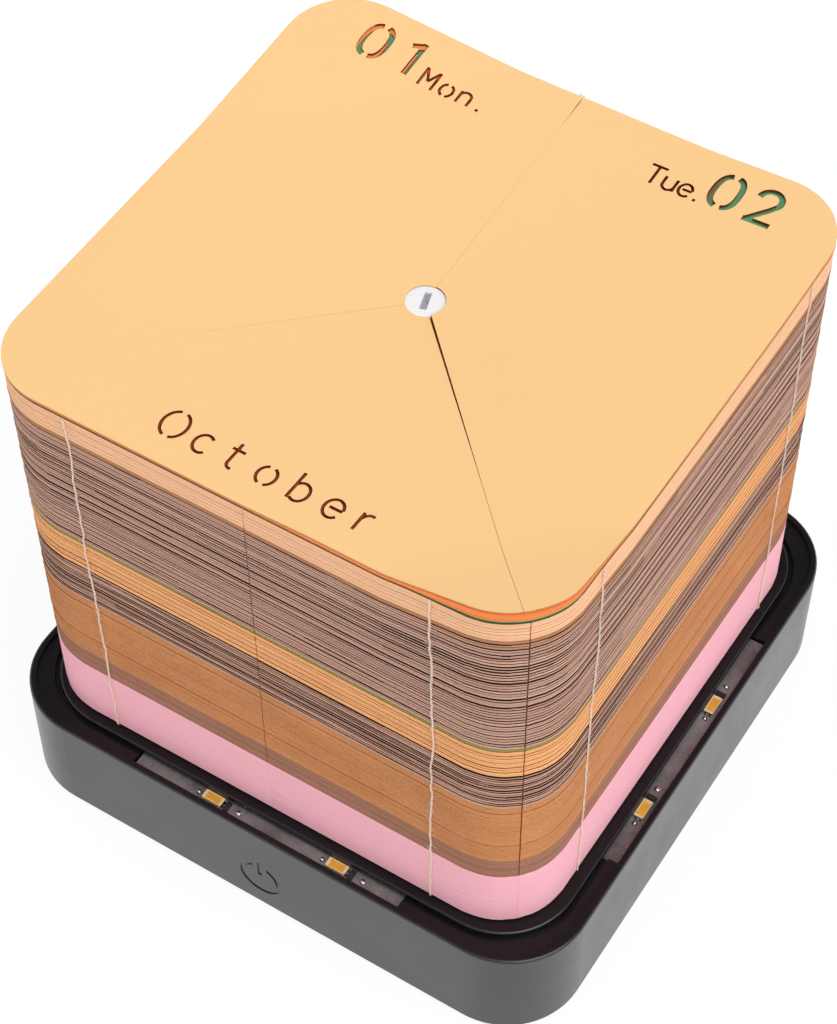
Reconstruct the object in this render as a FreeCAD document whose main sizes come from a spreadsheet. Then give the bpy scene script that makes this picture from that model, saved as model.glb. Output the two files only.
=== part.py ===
"""Desk calendar: a block of tear-off paper leaves on a shallow lamp base.

Sizes are in millimetres. +Z is up, -Y is the front with the power sign, and the
origin is on the table under the middle of the base. Every driving dimension is a
cell of the sheet "sizes". Each sub-part is one object whose Label names its file.
"""
import FreeCAD
import Part
import Sketcher
import math
import os

SIZES = [
    # paper block
    ("leaf_width", 90.0, "side of a square leaf"),
    ("leaf_corner", 11.0, "corner radius of a leaf"),
    ("leaf_card", 0.6, "one leaf, from face to face of the stack"),
    ("pink_count", 21, "pink leaves"),
    ("taupe_count", 8, "taupe leaves"),
    ("caramel_count", 25, "caramel leaves"),
    ("umber_count", 14, "umber leaves"),
    ("amber_count", 11, "amber leaves"),
    ("mauve_count", 39, "mauve leaves"),
    ("peach_count", 7, "peach leaves"),
    ("dish_depth", 2.7, "sag of the upper leaves at the centre"),
    ("dish_border", 1.0, "flat border between the dish and the middle of a leaf's edge"),
    ("panel_kerf", 0.3, "width of the cuts between the panels of the top leaf"),
    ("panel_gap", 0.05, "air under the loose top leaf"),
    ("cap_radius", 3.0, "white disc at the centre"),
    ("cap_gap", 0.2, "clearance between the disc and the leaves around it"),
    ("cap_proud", 0.1, "disc above the top leaf"),
    ("blade_width", 3.2, "steel blade, along Y"),
    ("blade_card", 1.0, "steel blade, along X"),
    ("blade_fit", 0.05, "clearance around the blade in the disc"),
    ("blade_gap", 0.2, "clearance around the blade in the leaves and the platform"),
    ("blade_sink", 0.25, "top of the blade below the disc's face"),
    ("blade_foot", 6.0, "length of the blade's bent foot"),
    ("thread_radius", 0.35, "cotton thread glued down a face"),
    ("thread_place", 29.0, "thread to the middle of its face"),
    ("tape_margin", 4.0, "bare edge around the adhesive sheet"),
    ("tape_film", 0.2, "thickness of the adhesive sheet"),
    # base
    ("foot_stand", 0.8, "feet below the housing"),
    ("base_height", 20.0, "height of the housing"),
    ("base_corner", 13.0, "corner radius of the housing"),
    ("platform_margin", 1.3, "platform beyond the leaves, each side"),
    ("channel_width", 2.6, "platform to rim"),
    ("rim_wall", 1.1, "thickness of the outer wall and its rim"),
    ("channel_depth", 0.7, "rim above the ledge"),
    ("groove_width", 0.9, "groove around the platform"),
    ("groove_depth", 0.9, "groove below the ledge"),
    ("groove_floor", 0.8, "plastic under the groove"),
    ("platform_plate", 2.0, "thickness of the platform"),
    ("platform_web", 4.0, "thick band inside the platform's edge"),
    ("platform_round", 0.4, "rounded edge of the platform"),
    ("rim_round", 0.5, "rounded outer edges of the housing"),
    ("window_length", 49.0, "lamp window along each side"),
    ("sign_radius", 3.4, "mid-line of the power sign's ring"),
    ("sign_line", 0.7, "line width of the power sign"),
    ("sign_gap", 2.6, "gap at the top of the ring"),
    ("sign_depth", 0.15, "depth of the power sign"),
    ("sign_drop", 12.4, "rim to the middle of the power sign"),
    ("cover_plate", 2.2, "thickness of the bottom cover"),
    ("cover_gap", 0.2, "clearance around the bottom cover"),
    ("boss_radius", 3.0, "screw post in the housing"),
    ("boss_inset", 8.5, "inside of the wall to a screw post's middle"),
    ("screw_radius", 1.0, "shank of every screw"),
    ("screw_fit", 0.05, "clearance between a shank and its post"),
    ("screw_gap", 0.2, "clearance between a shank and what it clamps"),
    ("screw_reach", 7.0, "shank of a cover screw above the cover"),
    ("hole_spare", 0.6, "screw hole beyond the end of its screw"),
    ("head_radius", 1.9, "head of a cover screw"),
    ("head_depth", 1.2, "thickness of a screw's head"),
    ("cross_width", 0.6, "cross recess in a screw's head"),
    ("cross_depth", 0.6, "depth of the cross recess"),
    ("foot_radius", 4.0, "rubber foot"),
    ("foot_sink", 0.6, "foot set into the cover"),
    ("foot_inset", 15.5, "inside of the wall to a foot's middle"),
    ("foot_gap", 0.05, "clearance around a foot in its seat"),
    # lamps
    ("strip_width", 4.0, "lamp strip across"),
    ("strip_card", 0.4, "lamp strip thickness"),
    ("strip_gap", 0.3, "clearance around a strip in its bay"),
    ("strip_drop", 1.9, "rim to the top of a strip"),
    ("lamp_pitch", 22.8, "lamp to lamp on a strip"),
    ("lamp_shift_front", 1.4, "middle of the front and back strips' lamps off the strip's middle"),
    ("lamp_shift_side", -2.2, "the same on the right and left strips"),
    ("lamp_length", 3.5, "lamp along its strip"),
    ("lamp_width", 1.6, "lamp across its strip"),
    ("lamp_out", 0.6, "middle line of a strip to the middle line of its lamps, outwards"),
    ("lamp_depth", 0.7, "lamp above its strip"),
    ("lamp_gap", 0.15, "clearance over a lamp in its bay"),
    ("resistor_step", 2.6, "lamp to resistor"),
    ("resistor_length", 1.6, "resistor across its strip"),
    ("resistor_width", 0.8, "resistor along its strip"),
    ("resistor_depth", 0.5, "resistor above its strip"),
    ("rail_width", 2.6, "rail under a strip"),
    ("rail_length", 5.6, "rail along its strip"),
    ("rail_inset", 4.0, "end of a strip to its rail"),
    # electronics
    ("board_width", 28.0, "control board along X"),
    ("board_depth", 20.0, "control board along Y"),
    ("board_card", 1.0, "control board thickness"),
    ("board_stand", 2.0, "posts under the control board"),
    ("board_gap", 1.0, "control board to the back wall"),
    ("board_post", 2.2, "radius of a board post"),
    ("board_inset", 3.0, "board edge to a post's middle"),
    ("board_head", 1.7, "head radius of a board screw"),
    ("board_grip", 2.5, "board screw below the board"),
    ("usb_width", 8.94, "charging socket along X"),
    ("usb_height", 3.2, "charging socket height"),
    ("usb_depth", 7.3, "charging socket along Y"),
    ("usb_skin", 0.3, "sheet of the charging socket"),
    ("usb_recess", 0.3, "socket's mouth behind the wall's face"),
    ("usb_gap", 0.25, "clearance around the socket in the wall"),
    ("tongue_width", 6.7, "contact tongue along X"),
    ("tongue_card", 0.7, "contact tongue thickness"),
    ("tongue_depth", 5.0, "contact tongue along Y"),
    ("chip_width", 4.9, "touch chip along X"),
    ("chip_depth", 3.9, "touch chip along Y"),
    ("chip_height", 1.4, "touch chip height"),
    ("chip_step", 5.0, "board's front edge to the chip's middle"),
    ("part_size", 3.0, "side of a square board part"),
    ("part_height", 1.6, "height of a board part"),
    ("part_pitch", 16.0, "board part to board part"),
    ("cell_width", 34.0, "battery cell along X"),
    ("cell_depth", 30.0, "battery cell along Y"),
    ("cell_height", 5.0, "battery cell height"),
    ("cell_round", 1.2, "rounded long edges of the cell"),
    ("cell_gap", 11.0, "battery cell to the control board"),
    ("pad_film", 0.5, "foam pad under the cell"),
    ("pad_margin", 2.0, "bare edge around the foam pad"),
    ("plate_side", 10.0, "touch foil, square"),
    ("plate_film", 0.15, "touch foil thickness"),
    ("wire_radius", 0.4, "every wire"),
    ("wire_pitch", 1.6, "wire to wire in a pair"),
    ("lead_inset", 2.0, "end of a strip to its leads"),
    ("lead_drop", 3.0, "underside of a strip to its leads' level run"),
]

doc = FreeCAD.newDocument("desk_calendar")
sheet = doc.addObject("Spreadsheet::Sheet", "sizes")
for row, (alias, value, note) in enumerate(SIZES, start=1):
    sheet.set(f"A{row}", alias)
    sheet.set(f"B{row}", str(value))
    sheet.set(f"C{row}", note)
    sheet.setAlias(f"B{row}", alias)
doc.recompute()
ALIASES = {alias for alias, value, note in SIZES}
PARTS = []
CROSS_REACH = 0.6     # arm of a cross recess, as a share of its head's radius
ROUND_SHARE = 0.45    # corner of the charging socket, as a share of its height
BEND_SHARE = 0.45     # part of a wire's shorter run that a bend takes

# Lengths that follow from the sheet, as expressions.
HALF = "(leaf_width / 2 + platform_margin + channel_width + rim_wall)"
PLATFORM = "(leaf_width + 2 * platform_margin)"
PLATFORM_CORNER = "(leaf_corner + platform_margin)"
INSIDE = f"({HALF} - rim_wall)"
RIM_TOP = "(foot_stand + base_height)"
TOP_PLATE = "(channel_depth + groove_depth + groove_floor)"
COVER_TOP = "(foot_stand + cover_plate)"
BOSS_PLACE = f"({INSIDE} - boss_inset)"
FOOT_PLACE = f"({INSIDE} - foot_inset)"
STRIP_LINE = f"({INSIDE} - strip_gap - strip_width / 2)"
STRIP_TOP = f"({RIM_TOP} - strip_drop)"
STRIP_LENGTH = "(window_length - 2 * strip_gap)"
STRIP_UNDER = f"({STRIP_TOP} - strip_card)"
RAIL_LINE = f"({STRIP_LENGTH} / 2 - rail_inset - rail_length / 2)"
BOARD_BACK = f"({INSIDE} - board_gap)"
BOARD_FRONT = f"({BOARD_BACK} - board_depth)"
BOARD_TOP = f"({COVER_TOP} + board_stand + board_card)"
POST_X = "(board_width / 2 - board_inset)"
USB_BACK = f"({HALF} - usb_recess)"
CELL_BACK = f"({BOARD_FRONT} - cell_gap)"
CELL_MID = f"({CELL_BACK} - cell_depth / 2)"
CELL_BASE = f"({COVER_TOP} + pad_film)"
SIGN_LEVEL = f"({RIM_TOP} - sign_drop)"
BLOCK_BASE = f"({RIM_TOP} + tape_film)"
DISH_RADIUS = "(leaf_width / 2 - dish_border)"
SLOT_CARD = "(blade_card + 2 * blade_gap)"
SLOT_WIDTH = "(blade_width + 2 * blade_gap)"
WINDOW_CUT = f"({TOP_PLATE} + platform_plate)"
PLATFORM_UNDER = f"({RIM_TOP} - platform_plate)"


def bound(expression):
    """The expression with every alias read from the sheet."""
    words = []
    word = ""
    for letter in expression + " ":
        if letter.isalnum() or letter in "_.<>":
            word += letter
            continue
        words.append("sizes." + word if word in ALIASES else word)
        words.append(letter)
        word = ""
    return "".join(words).strip()


def number(expression):
    """The value of an expression of aliases, in millimetres."""
    return float(sheet.evalExpression(bound(expression)))


def bind(thing, target, expression):
    thing.setExpression(target, bound(expression))


def origin_feature(body, role):
    return next(part for part in body.Origin.OriginFeatures if part.Role == role)


def add_part(thing, label):
    """Registers a finished sub-part under its node's name."""
    thing.Label = label
    PARTS.append(thing)
    return thing


def new_body(label, level="0"):
    """A body whose own origin stands at a height above the table."""
    body = doc.addObject("PartDesign::Body", label)
    body.AllowCompound = True
    bind(body, "Placement.Base.z", level)
    return add_part(body, label)


def new_sketch(body, name, role="XY_Plane", lift="0"):
    """A sketch on an origin plane of its own body, lifted along its normal."""
    sketch = body.newObject("Sketcher::SketchObject", f"{body.Name}_{name}")
    sketch.AttachmentSupport = [(origin_feature(body, role), "")]
    sketch.MapMode = "FlatFace"
    bind(sketch, "AttachmentOffset.Base.z", lift)
    return sketch


def constrain(sketch, kind, *references, value=None):
    """Adds a constraint, with its value bound to the sheet if it has one."""
    if value is None:
        return sketch.addConstraint(Sketcher.Constraint(kind, *references))
    index = sketch.addConstraint(Sketcher.Constraint(kind, *references, abs(number(value))))
    bind(sketch, f"Constraints[{index}]", f"abs({value})")
    return index


def pin(sketch, geometry, point, across, up):
    """Holds a point at a place given by two expressions."""
    for kind, axis, expression in (("DistanceX", -2, across), ("DistanceY", -1, up)):
        place = number(expression)
        if expression == "0":
            constrain(sketch, "PointOnObject", geometry, point, axis)
        elif place < 0:
            constrain(sketch, kind, geometry, point, -1, 1, value=expression)
        else:
            constrain(sketch, kind, -1, 1, geometry, point, value=expression)


def spot(across, up):
    return FreeCAD.Vector(number(across), number(up), 0)


def draw_circle(sketch, across, up, radius):
    circle = Part.Circle(spot(across, up), FreeCAD.Vector(0, 0, 1), number(radius))
    index = sketch.addGeometry(circle, False)
    pin(sketch, index, 3, across, up)
    constrain(sketch, "Radius", index, value=radius)
    return index


def draw_polygon(sketch, points):
    """A closed outline of straight lines through pinned corners."""
    first = sketch.GeometryCount
    count = len(points)
    for start, end in zip(points, points[1:] + points[:1]):
        sketch.addGeometry(Part.LineSegment(spot(*start), spot(*end)), False)
    for index, (across, up) in enumerate(points):
        pin(sketch, first + index, 1, across, up)
        constrain(sketch, "Coincident", first + index, 2, first + (index + 1) % count, 1)


def draw_box(sketch, across, up, width, height):
    """A rectangle by its middle and its size."""
    left, right = f"{across} - ({width}) / 2", f"{across} + ({width}) / 2"
    low, high = f"{up} - ({height}) / 2", f"{up} + ({height}) / 2"
    draw_polygon(sketch, [(left, low), (right, low), (right, high), (left, high)])


def draw_rounded(sketch, width, height, corner, up="0"):
    """A rounded rectangle centred on the Y axis of its sketch."""
    half_w, half_h = number(width) / 2, number(height) / 2
    radius, middle = number(corner), number(up)
    first = sketch.GeometryCount
    normal = FreeCAD.Vector(0, 0, 1)
    turns = [(1, -1), (1, 1), (-1, 1), (-1, -1)]
    for quarter, (side, end) in enumerate(turns):
        centre = FreeCAD.Vector(side * (half_w - radius), middle + end * (half_h - radius), 0)
        start_angle = math.radians(-90 + 90 * quarter)
        circle = Part.Circle(centre, normal, radius)
        sketch.addGeometry(Part.ArcOfCircle(circle, start_angle, start_angle + math.pi / 2), False)
    arcs = [sketch.Geometry[first + quarter] for quarter in range(4)]
    for quarter in range(4):
        line = Part.LineSegment(arcs[quarter].EndPoint, arcs[(quarter + 1) % 4].StartPoint)
        sketch.addGeometry(line, False)
    for quarter in range(4):
        line = first + 4 + quarter
        constrain(sketch, "Tangent", first + quarter, 2, line, 1)
        constrain(sketch, "Tangent", line, 2, first + (quarter + 1) % 4, 1)
        constrain(sketch, "Vertical" if quarter % 2 == 0 else "Horizontal", line)
    for quarter in range(1, 4):
        constrain(sketch, "Equal", first, first + quarter)
    constrain(sketch, "Radius", first, value=corner)
    constrain(sketch, "DistanceX", first + 6, 1, first + 4, 1, value=width)
    constrain(sketch, "DistanceY", first + 7, 1, first + 5, 1, value=height)
    pin(sketch, first, 3, f"({width}) / 2 - ({corner})", f"{up} - ({height}) / 2 + ({corner})")


def pad(body, sketch, length, down=False):
    feature = body.newObject("PartDesign::Pad", f"{sketch.Name}_pad")
    feature.Profile = sketch
    bind(feature, "Length", length)
    feature.Reversed = down
    return feature


def pocket(body, sketch, depth, up=False):
    feature = body.newObject("PartDesign::Pocket", f"{sketch.Name}_pocket")
    feature.Profile = sketch
    bind(feature, "Length", depth)
    feature.Reversed = up
    return feature


def groove(body, sketch):
    """Cuts a profile away all the way round its vertical axis."""
    feature = body.newObject("PartDesign::Groove", f"{sketch.Name}_groove")
    feature.Profile = sketch
    feature.ReferenceAxis = (sketch, ["V_Axis"])
    feature.Angle = 360
    return feature


def around(body, *features):
    """Repeats features at every quarter turn about the body's Z axis."""
    pattern = body.newObject("PartDesign::PolarPattern", f"{features[0].Name}_ring")
    pattern.Originals = list(features)
    pattern.Axis = (origin_feature(body, "Z_Axis"), [""])
    pattern.Angle = 360
    pattern.Occurrences = 4
    body.Tip = pattern
    return pattern


def round_edges(body, base, radius, wanted):
    """Fillets the edges of a feature for which wanted(edge) is true."""
    doc.recompute()
    names = [f"Edge{n}" for n, edge in enumerate(base.Shape.Edges, start=1) if wanted(edge)]
    feature = body.newObject("PartDesign::Fillet", f"{base.Name}_round")
    feature.Base = (base, names)
    bind(feature, "Radius", radius)
    return feature


def level_ring(level, reach):
    """Tells the edges of a rounded square of half side reach at one height."""
    def wanted(edge):
        box = edge.BoundBox
        if abs(box.ZMin - level) > 1e-4 or abs(box.ZMax - level) > 1e-4:
            return False
        point = edge.valueAt((edge.FirstParameter + edge.LastParameter) / 2)
        radius = 0 if edge.Curve.TypeId == "Part::GeomLine" else edge.Curve.Radius
        return abs(max(abs(point.x), abs(point.y)) + radius * (1 - math.sqrt(0.5)) - reach) < 1e-3
    return wanted


def box_part(label, width, depth, height, across, middle, level):
    """A plain block by the middle of its footprint and the height of its underside."""
    box = doc.addObject("Part::Box", label)
    bind(box, "Length", width)
    bind(box, "Width", depth)
    bind(box, "Height", height)
    bind(box, "Placement.Base.x", f"{across} - ({width}) / 2")
    bind(box, "Placement.Base.y", f"{middle} - ({depth}) / 2")
    bind(box, "Placement.Base.z", level)
    return add_part(box, label)


def top_housing():
    """The one-piece housing: wall, rim, lamp ledge, groove, platform and screw posts."""
    body = new_body("top_housing", "foot_stand")
    outline = new_sketch(body, "outline")
    draw_rounded(outline, f"2 * {HALF}", f"2 * {HALF}", "base_corner")
    block = pad(body, outline, "base_height")
    half, top = number(HALF), number("base_height")
    outer = level_ring(top, half)
    lower = level_ring(0, half)
    round_edges(body, block, "rim_round", lambda edge: outer(edge) or lower(edge))

    cavity = new_sketch(body, "cavity")
    draw_rounded(cavity, f"2 * {INSIDE}", f"2 * {INSIDE}", "base_corner - rim_wall")
    pocket(body, cavity, f"base_height - {TOP_PLATE}", up=True)
    relief = new_sketch(body, "relief", lift=f"base_height - {TOP_PLATE}")
    relief_width = f"({PLATFORM} - 2 * platform_web)"
    draw_rounded(relief, relief_width, relief_width, f"{PLATFORM_CORNER} - platform_web")
    pocket(body, relief, f"{TOP_PLATE} - platform_plate", up=True)

    channel = new_sketch(body, "channel", lift="base_height")
    draw_rounded(channel, f"2 * {INSIDE}", f"2 * {INSIDE}", "base_corner - rim_wall")
    draw_rounded(channel, PLATFORM, PLATFORM, PLATFORM_CORNER)
    pocket(body, channel, "channel_depth")
    moat = new_sketch(body, "moat", lift="base_height - channel_depth")
    moat_out = f"({PLATFORM} + 2 * groove_width)"
    draw_rounded(moat, moat_out, moat_out, f"{PLATFORM_CORNER} + groove_width")
    draw_rounded(moat, PLATFORM, PLATFORM, PLATFORM_CORNER)
    trench = pocket(body, moat, "groove_depth")
    round_edges(body, trench, "platform_round", level_ring(top, number(PLATFORM) / 2))

    window = new_sketch(body, "window", lift="base_height")
    window_mid = f"-({PLATFORM} / 2 + channel_width / 2)"
    draw_box(window, "0", window_mid, "window_length", "channel_width")
    around(body, pocket(body, window, WINDOW_CUT))
    bay = new_sketch(body, "bay", lift=f"base_height - {TOP_PLATE}")
    draw_box(bay, "0", f"-{STRIP_LINE}", "window_length", "strip_width + 2 * strip_gap")
    around(body, pocket(body, bay, f"{TOP_PLATE} - strip_drop + lamp_depth + lamp_gap", up=True))

    boss = new_sketch(body, "boss", lift="cover_plate")
    draw_circle(boss, BOSS_PLACE, BOSS_PLACE, "boss_radius")
    around(body, pad(body, boss, f"base_height - {TOP_PLATE} - cover_plate"))
    hole = new_sketch(body, "boss_hole", lift="cover_plate")
    draw_circle(hole, BOSS_PLACE, BOSS_PLACE, "screw_radius + screw_fit")
    around(body, pocket(body, hole, "screw_reach + hole_spare", up=True))

    slot = new_sketch(body, "blade_slot", lift="base_height")
    draw_box(slot, "0", "0", SLOT_CARD, SLOT_WIDTH)
    pocket(body, slot, "platform_plate")

    port = new_sketch(body, "port", role="XZ_Plane", lift=f"-{HALF}")
    draw_rounded(port, "usb_width + 2 * usb_gap", "usb_height + 2 * usb_gap",
                 f"{ROUND_SHARE} * usb_height + usb_gap", f"{BOARD_TOP} + usb_height / 2 - foot_stand")
    pocket(body, port, "rim_wall", up=True)
    power_sign(body)
    return body


def power_sign(body):
    """The sunk sign on the front wall: a ring open at the top, and a bar in its gap."""
    level = f"({SIGN_LEVEL} - foot_stand)"
    sketch = new_sketch(body, "sign", role="XZ_Plane", lift=HALF)
    middle, gap = number(level), number("sign_gap") / 2
    for index, radius in enumerate(("sign_radius + sign_line / 2", "sign_radius - sign_line / 2")):
        size = number(radius)
        lean = math.asin(gap / size)
        circle = Part.Circle(FreeCAD.Vector(0, middle, 0), FreeCAD.Vector(0, 0, 1), size)
        sketch.addGeometry(Part.ArcOfCircle(circle, math.pi / 2 + lean, math.pi * 2.5 - lean), False)
        pin(sketch, index, 3, "0", level)
        constrain(sketch, "Radius", index, value=radius)
    outer, inner = sketch.Geometry[0], sketch.Geometry[1]
    sketch.addGeometry(Part.LineSegment(outer.StartPoint, inner.StartPoint), False)
    sketch.addGeometry(Part.LineSegment(inner.EndPoint, outer.EndPoint), False)
    for line, arcs, point in ((2, (0, 1), 1), (3, (1, 0), 2)):
        constrain(sketch, "Coincident", line, 1, arcs[0], point)
        constrain(sketch, "Coincident", line, 2, arcs[1], point)
        constrain(sketch, "Vertical", line)
    constrain(sketch, "DistanceX", 0, 1, -1, 1, value="sign_gap / 2")
    constrain(sketch, "DistanceX", -1, 1, 0, 2, value="sign_gap / 2")
    draw_box(sketch, "0", f"{level} + sign_radius - sign_line", "sign_line", "sign_radius")
    pocket(body, sketch, "sign_depth")


def bottom_cover():
    """The cover: plate, rails under the lamp strips and posts under the board."""
    body = new_body("bottom_cover", "foot_stand")
    outline = new_sketch(body, "outline")
    width = f"(2 * {INSIDE} - 2 * cover_gap)"
    draw_rounded(outline, width, width, "base_corner - rim_wall - cover_gap")
    pad(body, outline, "cover_plate")
    rails = new_sketch(body, "rail", lift="cover_plate")
    for side in ("-", ""):
        draw_box(rails, f"{side}{RAIL_LINE}", f"-{STRIP_LINE}", "rail_length", "rail_width")
    around(body, pad(body, rails, f"{STRIP_UNDER} - {COVER_TOP}"))
    posts = new_sketch(body, "post", lift="cover_plate")
    post_ys = (f"{BOARD_FRONT} + board_inset", f"{BOARD_BACK} - board_inset")
    for side in ("-", ""):
        for post_y in post_ys:
            draw_circle(posts, f"{side}{POST_X}", post_y, "board_post")
    pad(body, posts, "board_stand")
    holes = new_sketch(body, "board_hole", lift="cover_plate + board_stand")
    for side in ("-", ""):
        draw_circle(holes, f"{side}{POST_X}", post_ys[0], "screw_radius + screw_fit")
    pocket(body, holes, "board_grip + hole_spare")
    holes = new_sketch(body, "screw_hole")
    draw_circle(holes, BOSS_PLACE, BOSS_PLACE, "screw_radius + screw_gap")
    sink = new_sketch(body, "screw_sink")
    draw_circle(sink, BOSS_PLACE, BOSS_PLACE, "head_radius + screw_gap")
    seat = new_sketch(body, "foot_seat")
    draw_circle(seat, FOOT_PLACE, FOOT_PLACE, "foot_radius + foot_gap")
    around(body, pocket(body, holes, "cover_plate", up=True))
    around(body, pocket(body, sink, "head_depth", up=True))
    around(body, pocket(body, seat, "foot_sink", up=True))


def cover_screws():
    """Four screws with sunk cross heads, up through the cover into the posts."""
    body = new_body("cover_screws", "foot_stand")
    head = new_sketch(body, "head")
    draw_circle(head, BOSS_PLACE, BOSS_PLACE, "head_radius")
    head = pad(body, head, "head_depth")
    shank = new_sketch(body, "shank", lift="head_depth")
    draw_circle(shank, BOSS_PLACE, BOSS_PLACE, "screw_radius")
    shank = pad(body, shank, "cover_plate - head_depth + screw_reach")
    cross = new_sketch(body, "cross")
    draw_cross(cross, BOSS_PLACE, BOSS_PLACE, "head_radius")
    cross = pocket(body, cross, "cross_depth", up=True)
    around(body, head, shank, cross)


def draw_cross(sketch, across, up, head):
    """A cross-shaped outline by its middle and the radius of the screw's head."""
    arm = f"{CROSS_REACH} * {head}"
    half = "cross_width / 2"
    corners = [(half, arm), (half, half), (arm, half)]
    points = []
    for side, end in (("+", "+"), ("+", "-"), ("-", "-"), ("-", "+")):
        quarter = corners if side == end else corners[::-1]
        points += [(f"{across} {side} {dx}", f"{up} {end} {dy}") for dx, dy in quarter]
    draw_polygon(sketch, points)


def rubber_feet():
    """Four round feet set into the cover."""
    body = new_body("rubber_feet")
    disc = new_sketch(body, "disc")
    draw_circle(disc, FOOT_PLACE, FOOT_PLACE, "foot_radius")
    around(body, pad(body, disc, "foot_stand + foot_sink"))


def lamp_strips():
    """One lamp strip on each side, and the lamps and resistors on all four."""
    for label, turn in (("front", 0), ("right", 90), ("back", 180), ("left", 270)):
        body = new_body(f"led_strip_{label}", STRIP_UNDER)
        outline = new_sketch(body, "outline")
        draw_box(outline, "0", f"-{STRIP_LINE}", STRIP_LENGTH, "strip_width")
        pad(body, outline, "strip_card")
        body.Placement.Rotation = FreeCAD.Rotation(FreeCAD.Vector(0, 0, 1), turn)
    strip_chips("led_chips", "0", "lamp_length", "lamp_width", "lamp_depth")
    strip_chips("strip_resistors", "resistor_step", "resistor_width", "resistor_length", "resistor_depth")


def strip_chips(label, step, length, width, depth):
    """Two equal chips on each strip: the step is from a lamp's middle, anticlockwise round the base."""
    body = new_body(label, STRIP_TOP)
    outline = new_sketch(body, "outline")
    for lamp in ("-lamp_pitch / 2", "lamp_pitch / 2"):
        ahead = f"{lamp} + {step} + lamp_shift_front"
        behind = f"{lamp} - {step} - lamp_shift_front"
        draw_box(outline, ahead, f"-({STRIP_LINE} + lamp_out)", length, width)
        draw_box(outline, behind, f"{STRIP_LINE} + lamp_out", length, width)
        ahead = f"{lamp} + {step} + lamp_shift_side"
        behind = f"{lamp} - {step} - lamp_shift_side"
        draw_box(outline, f"{STRIP_LINE} + lamp_out", ahead, width, length)
        draw_box(outline, f"-({STRIP_LINE} + lamp_out)", behind, width, length)
    pad(body, outline, depth)


def electronics():
    """Control board with its parts, charging socket, battery cell and touch foil."""
    body = new_body("control_board", f"{BOARD_TOP} - board_card")
    outline = new_sketch(body, "outline")
    draw_box(outline, "0", f"{BOARD_BACK} - board_depth / 2", "board_width", "board_depth")
    pad(body, outline, "board_card")
    holes = new_sketch(body, "hole")
    for side in ("-", ""):
        draw_circle(holes, f"{side}{POST_X}", f"{BOARD_FRONT} + board_inset", "screw_radius + screw_gap")
    pocket(body, holes, "board_card", up=True)

    body = new_body("board_screws", BOARD_TOP)
    for name, radius, length, down in (("head", "board_head", "head_depth", False),
                                       ("shank", "screw_radius", "board_card + board_grip", True)):
        sketch = new_sketch(body, name)
        for side in ("-", ""):
            draw_circle(sketch, f"{side}{POST_X}", f"{BOARD_FRONT} + board_inset", radius)
        pad(body, sketch, length, down)
    cross = new_sketch(body, "cross", lift="head_depth")
    for side in ("-", ""):
        draw_cross(cross, f"{side}{POST_X}", f"{BOARD_FRONT} + board_inset", "board_head")
    pocket(body, cross, "cross_depth")

    body = new_body("usb_socket")
    shell = new_sketch(body, "shell", role="XZ_Plane", lift=f"-{USB_BACK}")
    level = f"{BOARD_TOP} + usb_height / 2"
    draw_rounded(shell, "usb_width", "usb_height", f"{ROUND_SHARE} * usb_height", level)
    pad(body, shell, "usb_depth")
    mouth = new_sketch(body, "mouth", role="XZ_Plane", lift=f"-{USB_BACK}")
    draw_rounded(mouth, "usb_width - 2 * usb_skin", "usb_height - 2 * usb_skin",
                 f"{ROUND_SHARE} * usb_height - usb_skin", level)
    pocket(body, mouth, "usb_depth - usb_skin", up=True)
    box_part("usb_tongue", "tongue_width", "tongue_depth", "tongue_card", "0",
             f"{USB_BACK} - usb_depth + usb_skin + tongue_depth / 2", f"{level} - tongue_card / 2")

    box_part("touch_chip", "chip_width", "chip_depth", "chip_height", "0",
             f"{BOARD_FRONT} + chip_step", BOARD_TOP)
    body = new_body("board_parts", BOARD_TOP)
    parts = new_sketch(body, "outline")
    for side in ("-", ""):
        draw_box(parts, f"{side}part_pitch / 2", f"{BOARD_FRONT} + board_depth / 2", "part_size", "part_size")
    pad(body, parts, "part_height")

    body = new_body("battery_cell", CELL_BASE)
    outline = new_sketch(body, "outline")
    draw_box(outline, "0", CELL_MID, "cell_width", "cell_depth")
    cell = pad(body, outline, "cell_height")
    depth = number("cell_depth")
    round_edges(body, cell, "cell_round", lambda edge: abs(edge.BoundBox.YLength - depth) < 1e-3)
    box_part("battery_pad", "cell_width - 2 * pad_margin", "cell_depth - 2 * pad_margin", "pad_film", "0",
             CELL_MID, COVER_TOP)
    box_part("touch_plate", "plate_side", "plate_film", "plate_side", "0",
             f"-{INSIDE} + plate_film / 2", f"{SIGN_LEVEL} - plate_side / 2")


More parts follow.
